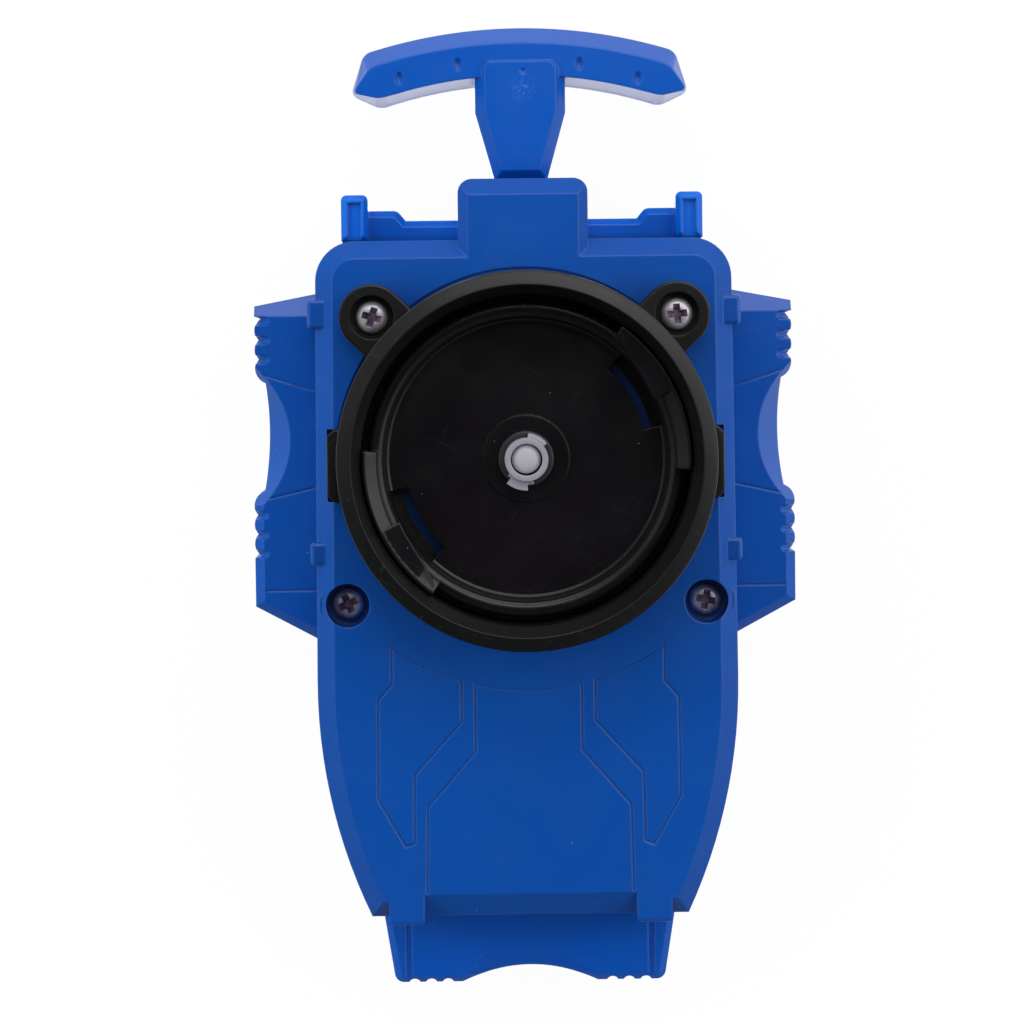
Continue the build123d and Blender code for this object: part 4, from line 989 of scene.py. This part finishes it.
def modelSpring():
    # the spring under the pin stands on the shaft and shortens as the pin is pressed
    spring = copyNode("plunger_spring", "plungerSpring")
    finishPiece(spring, "turret", "spring_steel", "plunger_spring")
    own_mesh(spring)


modelCollar(hubSettings)
modelShaft(hubSettings)
modelPin(hubSettings)
modelSpring()
print("hub modelled")


# Handle: a curved bar with bevelled faces and a raised stem plate, in two halves

handleSettings = {
    "outerRadius": 65.4 * mm, "innerRadius": 56.1 * mm, "apex": 54.29 * mm, "innerApex": 47.1 * mm,
    "arcSteps": 14,
    "endX": 19.9 * mm, "tip": (21.6 * mm, 46.0 * mm), "heelX": 17.8 * mm,
    "faceDrop": 0.45 * mm, "cornerRounding": 0.8 * mm, "cornerAngle": 25, "edge": 0.22 * mm,
    # the bar's bevelled faces: how far in they reach and how far down the bar they start
    "topBand": 2.05 * mm, "topBandHeight": 3.0 * mm, "lowBand": 1.05 * mm, "lowBandHeight": 3.9 * mm,
    "lowBandShare": 0.33,    # of the lower bevel's width, reached where the upper one starts
    # how far the end's corners follow the bevels
    "endFollows": (-0.1, 0), "tipFollows": (-0.3, 0.1), "heelFollows": (-0.25, 0.15),
    "stemHalf": 5.75 * mm, "stemFootHalf": 3.35 * mm, "stemFoot": 34.85 * mm, "stemShoulder": 43.4 * mm,
    "stemCorner": 48.6 * mm, "stemTop": 50.2 * mm, "stemTopHalf": 4.45 * mm, "stemBevel": 1.25 * mm,
    "stemBevelHeight": 1.4 * mm, "stemTopFollows": 0.75,
    "cordBore": 0.9 * mm, "knotPocket": 1.9 * mm, "knotY": 50.2 * mm,
    "dimples": ((-15.3, 47.9), (-7.9, 49.6), (7.6, 49.5), (15.0, 47.6)),   # mm
    "dimpleRadius": 0.75 * mm, "dimpleShape": (0.8, 1.3, 1), "dimpleRise": 0.45,
    "gateMark": (0.4, 48.6), "gateRadius": 0.55 * mm, "gateRise": 0.6,    # mm; share of the radius
}


def drawBar(s, split):
    # the outline of the bar's right half: the outer arc, the end with its tip and heel, the inner arc
    outerCentre = (0, s["apex"] - s["outerRadius"], split)
    innerCentre = (0, s["innerApex"] - s["innerRadius"], split)
    endAngle = math.degrees(math.asin(s["endX"] / s["outerRadius"]))
    heelAngle = math.degrees(math.asin(s["heelX"] / s["innerRadius"]))
    endY = outerCentre[1] + s["outerRadius"] * math.cos(math.radians(endAngle))
    heelY = innerCentre[1] + s["innerRadius"] * math.cos(math.radians(heelAngle))
    startChain(0, s["apex"], split)
    spinBy(-endAngle, outerCentre, s["arcSteps"])
    drawOn([(s["endX"], endY, split), (*s["tip"], split), (s["heelX"], heelY, split)])
    spinBy(heelAngle, innerCentre, s["arcSteps"])
    drawOn([(0, s["innerApex"], split), (0, s["apex"], split)])
    closeFace()
    return outerCentre, innerCentre, heelY


def modelBar(s, split, top):
    outerCentre, innerCentre, heelY = drawBar(s, split)
    height = top - s["faceDrop"] - split
    # level above the split, share of the upper bevel, share of the lower one
    levels = ((height - s["lowBandHeight"], 0.0, 0.0),
              (height - s["topBandHeight"], 0.0, s["lowBandShare"]), (height, 1.0, 1.0))
    lastHeight, lastTop, lastLow = 0.0, 0.0, 0.0
    for level, topShare, lowShare in levels:
        bpy.ops.mesh.select_mode(type="FACE")
        extrudeBy(0, 0, level - lastHeight)
        z = split + level
        topMove = (topShare - lastTop) * s["topBand"]
        lowMove = (lowShare - lastLow) * s["lowBand"]
        outerNow = s["outerRadius"] - lastTop * s["topBand"]
        innerNow = s["innerRadius"] + lastLow * s["lowBand"]

        def onArc(p, centre, radius):
            return abs(math.hypot(p.x - centre[0], p.y - centre[1]) - radius) < 5 * snug

        def pickHere(test):
            pick("VERT", lambda p, n: abs(p.z - z) < snug and test(p))

        def narrow(centre, radius, change):
            share = (radius + change) / radius
            bpy.ops.transform.resize(value=(share, share, 1), center_override=(centre[0], centre[1], z))

        def follow(shares, move):
            moveBy(shares[0] * move, shares[1] * move, 0)

        if topMove:
            pickHere(lambda p: onArc(p, outerCentre, outerNow))
            narrow(outerCentre, outerNow, -topMove)
            # the end's upper corner goes with the upper bevel, its tip and heel with the lower one
            pickHere(lambda p: p.x > s["endX"] - 1.2 * mm and p.y > s["tip"][1] + 2 * mm)
            follow(s["endFollows"], topMove)
        if lowMove:
            pickHere(lambda p: onArc(p, innerCentre, innerNow) and p.y < s["innerApex"] + 2 * mm)
            narrow(innerCentre, innerNow, lowMove)
            pickHere(lambda p: p.x > s["tip"][0] - 2.2 * mm and abs(p.y - s["tip"][1]) < 1.2 * mm)
            follow(s["tipFollows"], lowMove)
            pickHere(lambda p: abs(p.x - s["heelX"]) < mm and p.y < heelY + 2 * mm)
            follow(s["heelFollows"], lowMove)
        pick("FACE", lambda p, n: abs(p.z - z) < snug and n.z > along)
        lastHeight, lastTop, lastLow = level, topShare, lowShare
    outwards()
    # the edges that run up round the end, leaning with the bevels
    rising = 0.55
    pickSharp(lambda p, d: abs(d.z) > rising and p.x > s["heelX"] - mm, s["cornerAngle"])
    bevelBy(s["cornerRounding"], 4)
    # the wall on the mirror plane goes, so that the two halves share their edge
    pick("FACE", lambda p, n: abs(p.x) < weld and abs(n.x) > along)
    bpy.ops.mesh.delete(type="FACE")
    leaveEdit()
    bar = startPiece("bar")
    applyPlace(bar)
    applyModifier(bar, "MIRROR", use_axis=(True, False, False), use_clip=True, merge_threshold=snug)
    enterEdit()
    outwards()
    bpy.ops.mesh.dissolve_limited(angle_limit=math.radians(1))
    leaveEdit()
    return bar


def modelStem(s, split, top):
    points = [(s["stemTopHalf"], s["stemTop"]), (s["stemHalf"], s["stemCorner"]),
              (s["stemHalf"], s["stemShoulder"]), (s["stemFootHalf"], s["stemFoot"])]
    points += [(-x, y) for x, y in reversed(points)]
    corners = [(x, y, split) for x, y in points]
    startChain(*corners[0])
    drawOn(corners + corners[:1])
    closeFace()
    extrudeBy(0, 0, top - s["stemBevelHeight"] - split)
    outwards()
    pickLevel(1)
    bpy.ops.mesh.inset(thickness=s["stemBevel"], depth=0)
    moveBy(0, 0, s["stemBevelHeight"])
    # the plate's upper edge stands close to the outline
    pick("VERT", lambda p, n: p.z > top - snug and p.y > s["stemCorner"] - 2 * mm)
    moveBy(0, s["stemTopFollows"] * s["stemBevel"], 0)
    leaveEdit()
    return startPiece("stem")


def modelHandle(s):
    low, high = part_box("handle_front")
    split = low.z
    front = modelBar(s, split, high.z)
    combine(front, modelStem(s, split, high.z), "UNION")
    softenEdges(front, s["edge"], 2, 18)
    combine(front, addBead(0, s["knotY"], split, s["knotPocket"], 32), "DIFFERENCE")
    combine(front, addRod(0, s["stemFoot"] - mm, s["knotY"], split, s["cordBore"], 24), "DIFFERENCE")
    back = copyPiece(front, "handleBack")
    front.name = "handleFront"
    face = high.z - s["faceDrop"] + s["dimpleRise"] * s["dimpleRadius"]
    for x, y in s["dimples"]:
        dimple = addBead(x * mm, y * mm, face, s["dimpleRadius"], 24, s["dimpleShape"])
        combine(front, dimple, "DIFFERENCE")
    x, y = s["gateMark"]
    gate = addBead(x * mm, y * mm, high.z + s["gateRise"] * s["gateRadius"], s["gateRadius"], 24)
    combine(front, gate, "DIFFERENCE")
    # the back half is the front's mirror image, without its marks
    back.location.z = 2 * split
    back.scale.z = -1
    applyPlace(back)
    enterEdit()
    outwards()
    leaveEdit()
    finishPiece(front, "handle", "handle_blue", "handle_front")
    finishPiece(back, "handle", "handle_blue", "handle_back")


modelHandle(handleSettings)
print("handle modelled")


# String: the run, the lead that draws out, the knot and the turns on the drum

cordSettings = {
    "radius": 0.5 * mm, "leadRings": 80, "leadSides": 16, "leadSmoothAngle": 40,
    "heldLength": 0.5 * mm,     # what the guide and the knot hold of the lead
    "knotRadius": 0.95 * mm, "knotCord": 0.42 * mm, "knotSteps": 24, "knotLoop": 1.3, "knotRise": 0.7,
    "coilInner": 9.0 * mm, "turnsPerLayer": 4, "layers": 2, "layerPitch": 1.7,   # in cord radii
    "stepsPerTurn": 16, "coilSqueeze": 0.96,
}


def addCord(name, points, radius, body, node):
    data = bpy.data.curves.new(name, "CURVE")
    data.dimensions = "3D"
    data.bevel_depth = radius
    data.bevel_resolution = 4
    data.resolution_u = 6
    data.use_fill_caps = True
    spline = data.splines.new("NURBS")
    spline.points.add(len(points) - 1)
    for point, place in zip(spline.points, points):
        point.co = (*place, 1)
    spline.order_u = 3
    spline.use_endpoint_u = True
    cord = bpy.data.objects.new(name, data)
    bpy.context.scene.collection.objects.link(cord)
    cord.data.materials.append(finishes["pull_string"])
    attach(cord, body)
    standFor(node)


def modelLead(s):
    # the stretch between the guide and the handle, which draws out as the handle is pulled
    low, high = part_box("string_lead")
    centre = (low + high) / 2
    lead = addRod(centre.x, low.y, high.y, centre.z, s["radius"], s["leadSides"])
    lead.name = "stringLead"
    applyPlace(lead)
    enterEdit()
    pick("EDGE", lambda p, d: abs(d.y) > along)
    bpy.ops.mesh.subdivide(number_cuts=s["leadRings"])
    leaveEdit()
    lead.data.materials.append(finishes["pull_string"])
    bpy.ops.object.shade_smooth_by_angle(angle=math.radians(s["leadSmoothAngle"]))
    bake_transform(lead)
    standFor("string_lead")


def modelKnot(s):
    # an overhand knot
    low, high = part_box("string_knot")
    centre = (low + high) / 2
    points = []
    for step in range(s["knotSteps"] + 1):
        t = turn * step / s["knotSteps"]
        points.append((centre.x + s["knotRadius"] * (math.sin(t) + s["knotLoop"] * math.sin(2 * t)) / 2,
                       centre.y + s["knotRadius"] * (math.cos(t) - s["knotLoop"] * math.cos(2 * t)) / 2,
                       centre.z - s["knotRadius"] * math.sin(3 * t) * s["knotRise"]))
    addCord("stringKnot", points, s["knotCord"], "handle", "string_knot")


def modelCoil(s):
    # turns laid side by side, the second layer in the furrows of the first
    low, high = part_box("string_coil")
    centre = (low + high) / 2
    width = high.z - low.z - 2 * s["radius"]
    steps = s["turnsPerLayer"] * s["stepsPerTurn"]
    points = []
    for layer in range(s["layers"]):
        radius = s["coilInner"] + s["radius"] * (1 + s["layerPitch"] * layer)
        for step in range(steps):
            angle = turn * step / s["stepsPerTurn"]
            share = step / steps if layer % 2 == 0 else 1 - step / steps
            points.append((centre.x + radius * math.cos(angle), centre.y + radius * math.sin(angle),
                           low.z + s["radius"] + width * share))
    addCord("stringCoil", points, s["radius"] * s["coilSqueeze"], "drum", "string_coil")


modelLead(cordSettings)
modelKnot(cordSettings)
modelCoil(cordSettings)
print("string laid")


# Studio: a pale floor in white surroundings. Big soft lamps on both sides and at the handle give most of
# the light and stay out of the gloss; four weaker ones also show as the highlights on rim, faces and handle

studioSettings = {
    "floorSize": 3.0, "floorColor": "#F4F4F4", "floorRoughness": 0.9, "paperIor": 1.45,
    "floorGlow": 0.96,        # share of the floor that shows as plain white, the rest takes the shadow
    # painted reflection: glossy rays see the floor glow in two patches, though no lamp is there; for each,
    # its middle, radius where it starts to fade and where it ends, its strength inside and outside
    "wideGlossGlow": ((0.045, 0.055, 0), 0.065, 0.185, 0.85, 0.12),
    "spotGlossGlow": ((0, 0.034, 0), 0.017, 0.029, 1.6, 0.0),
    # what the gloss mirrors: a band of white walls, dark overhead, at the horizon and on the tail's side
    "sky": ((0.0, 0.08), (0.22, 0.16), (0.40, 0.75), (0.72, 0.75), (0.86, 0.04), (1.0, 0.005)),
    "tailShade": (-0.55, 0.15, 0.10),    # Y of the direction where it is full, where it ends, what is left
    "wallSpan": (-0.5, 0.5), "wallLevels": (0.5, 1.8),   # the walls are brighter on the right
    "dome": 0.29,             # what the surroundings give to the matt part of every surface
    "lamps": (
        {"name": "leftSideLamp", "from": (-0.75, 0.08, 0.42), "size": (0.9, 0.55), "power": 6.6,
         "color": (0.94, 1.05, 0.97)},
        {"name": "rightSideLamp", "from": (0.75, 0.04, 0.42), "size": (0.9, 0.55), "power": 5.6,
         "color": (0.94, 1.05, 0.97)},
        {"name": "handleSideLamp", "from": (-0.075, 0.425, 0.312), "size": (0.56, 0.25), "power": 1.3},
        {"name": "overheadLamp", "from": (0.08, 0.30, 0.62), "size": (0.45, 0.20), "power": 0.62,
         "mirrored": True},
        {"name": "rightRimLamp", "from": (0.35, 0.08, 0.62), "size": (0.22, 0.26), "power": 0.13,
         "mirrored": True},
        {"name": "leftRimLamp", "from": (-0.32, 0.08, 0.62), "size": (0.22, 0.26), "power": 0.07,
         "mirrored": True},
        {"name": "lowHandleLamp", "from": (0.0, 0.78, 0.25), "size": (0.9, 0.14), "power": 0.85,
         "mirrored": True},
    ),
}
white = (1, 1, 1, 1)


def directRays(tree):
    # 1 for the rays that see the surroundings straight or through something clear
    rays = addNode(tree, "ShaderNodeLightPath")
    seen = addNode(tree, "ShaderNodeMath", {"operation": "MAXIMUM"},
                   links={0: (rays, "Is Camera Ray"), 1: (rays, "Is Transmission Ray")})
    return rays, seen


def layFloor(s):
    bpy.ops.mesh.primitive_plane_add(size=s["floorSize"])
    floor = startPiece("floor")
    # matt white paper
    material, tree, shader = startMaterial("whitePaperSweep", ior=s["paperIor"])
    shader.inputs["Base Color"].default_value = linearColor(s["floorColor"])
    shader.inputs["Roughness"].default_value = s["floorRoughness"]
    rays, seen = directRays(tree)
    place = addNode(tree, "ShaderNodeTexCoord")
    # painted reflections: two patches where the floor glows for glossy rays only, the small one brighter
    # than white
    patches = []
    for middle, near, far, high, low in (s["wideGlossGlow"], s["spotGlossGlow"]):
        away = addNode(tree, "ShaderNodeVectorMath", {"operation": "DISTANCE"}, inputs={1: middle},
                       links={0: (place, "Object")})
        patches.append(addNode(tree, "ShaderNodeMapRange",
                               inputs={"From Min": near, "From Max": far, "To Min": high, "To Max": low},
                               links={"Value": (away, "Value")}))
    both = addNode(tree, "ShaderNodeMath", {"operation": "ADD"},
                   links={0: (patches[0], "Result"), 1: (patches[1], "Result")})
    mirrored = addNode(tree, "ShaderNodeMath", {"operation": "MULTIPLY"},
                       links={0: (rays, "Is Glossy Ray"), 1: (both, "Value")})
    strength = addNode(tree, "ShaderNodeMath", {"operation": "ADD"},
                       links={0: (mirrored, "Value"), 1: (seen, "Value")})
    bright = addNode(tree, "ShaderNodeMath", {"operation": "MAXIMUM"},
                     links={0: (seen, "Value"), 1: (rays, "Is Glossy Ray")})
    share = addNode(tree, "ShaderNodeMath", {"operation": "MULTIPLY"}, inputs={1: s["floorGlow"]},
                    links={0: (bright, "Value")})
    glow = addNode(tree, "ShaderNodeEmission", inputs={"Color": white},
                   links={"Strength": (strength, "Value")})
    mixed = addNode(tree, "ShaderNodeMixShader",
                    links={0: (share, "Value"), 1: (shader, "BSDF"), 2: (glow, "Emission")})
    tree.links.new(mixed.outputs["Shader"], tree.nodes["Material Output"].inputs["Surface"])
    floor.data.materials.append(material)


def setSurroundings(s):
    world = bpy.data.worlds.new("whiteStudio")
    world.use_nodes = True
    tree = world.node_tree
    direction = addNode(tree, "ShaderNodeTexCoord")
    parts = addNode(tree, "ShaderNodeSeparateXYZ", links={"Vector": (direction, "Generated")})
    ramp = addNode(tree, "ShaderNodeValToRGB", links={"Fac": (parts, "Z")})
    stops = ramp.color_ramp.elements
    stops.remove(stops[1])
    for index, (position, brightness) in enumerate(s["sky"]):
        stop = stops[0] if index == 0 else stops.new(position)
        stop.position = position
        stop.color = (brightness, brightness, brightness, 1)
    rays, seen = directRays(tree)
    full, none, least = s["tailShade"]
    shade = addNode(tree, "ShaderNodeMapRange",
                    inputs={"From Min": full, "From Max": none, "To Min": least},
                    links={"Value": (parts, "Y")})
    fromX, toX = s["wallSpan"]
    left, right = s["wallLevels"]
    aside = addNode(tree, "ShaderNodeMapRange",
                    inputs={"From Min": fromX, "From Max": toX, "To Min": left, "To Max": right},
                    links={"Value": (parts, "X")})
    scale = addNode(tree, "ShaderNodeMath", {"operation": "MULTIPLY"},
                    links={0: (shade, "Result"), 1: (aside, "Result")})
    walls = addNode(tree, "ShaderNodeVectorMath", {"operation": "SCALE"},
                    links={0: (ramp, "Color"), "Scale": (scale, "Value")})
    dome = addNode(tree, "ShaderNodeMix", {"data_type": "RGBA"},
                   inputs={mixSecond: (s["dome"],) * 3 + (1,)},
                   links={mixFactor: (rays, "Is Diffuse Ray"), mixFirst: (walls, "Vector")})
    level = addNode(tree, "ShaderNodeMix", {"data_type": "RGBA"}, inputs={mixSecond: white},
                    links={mixFactor: (seen, "Value"), mixFirst: (dome, mixResult)})
    tree.links.new(level.outputs[mixResult], tree.nodes["Background"].inputs["Color"])
    bpy.context.scene.world = world


def hangLamps(s):
    for lamp in s["lamps"]:
        data = bpy.data.lights.new(lamp["name"], "AREA")
        data.shape = "RECTANGLE"
        data.size, data.size_y = lamp["size"]
        data.energy = lamp["power"]
        data.color = lamp.get("color", white[:3])
        light = bpy.data.objects.new(lamp["name"], data)
        light.location = lamp["from"]
        light.rotation_euler = Vector(lamp["from"]).to_track_quat("Z", "Y").to_euler()
        light.visible_glossy = lamp.get("mirrored", False)   # the big lamps are kept out of the gloss
        bpy.context.scene.collection.objects.link(light)


layFloor(studioSettings)
setSurroundings(studioSettings)
hangLamps(studioSettings)
bpy.context.scene.view_settings.view_transform = "Standard"
print("studio set")
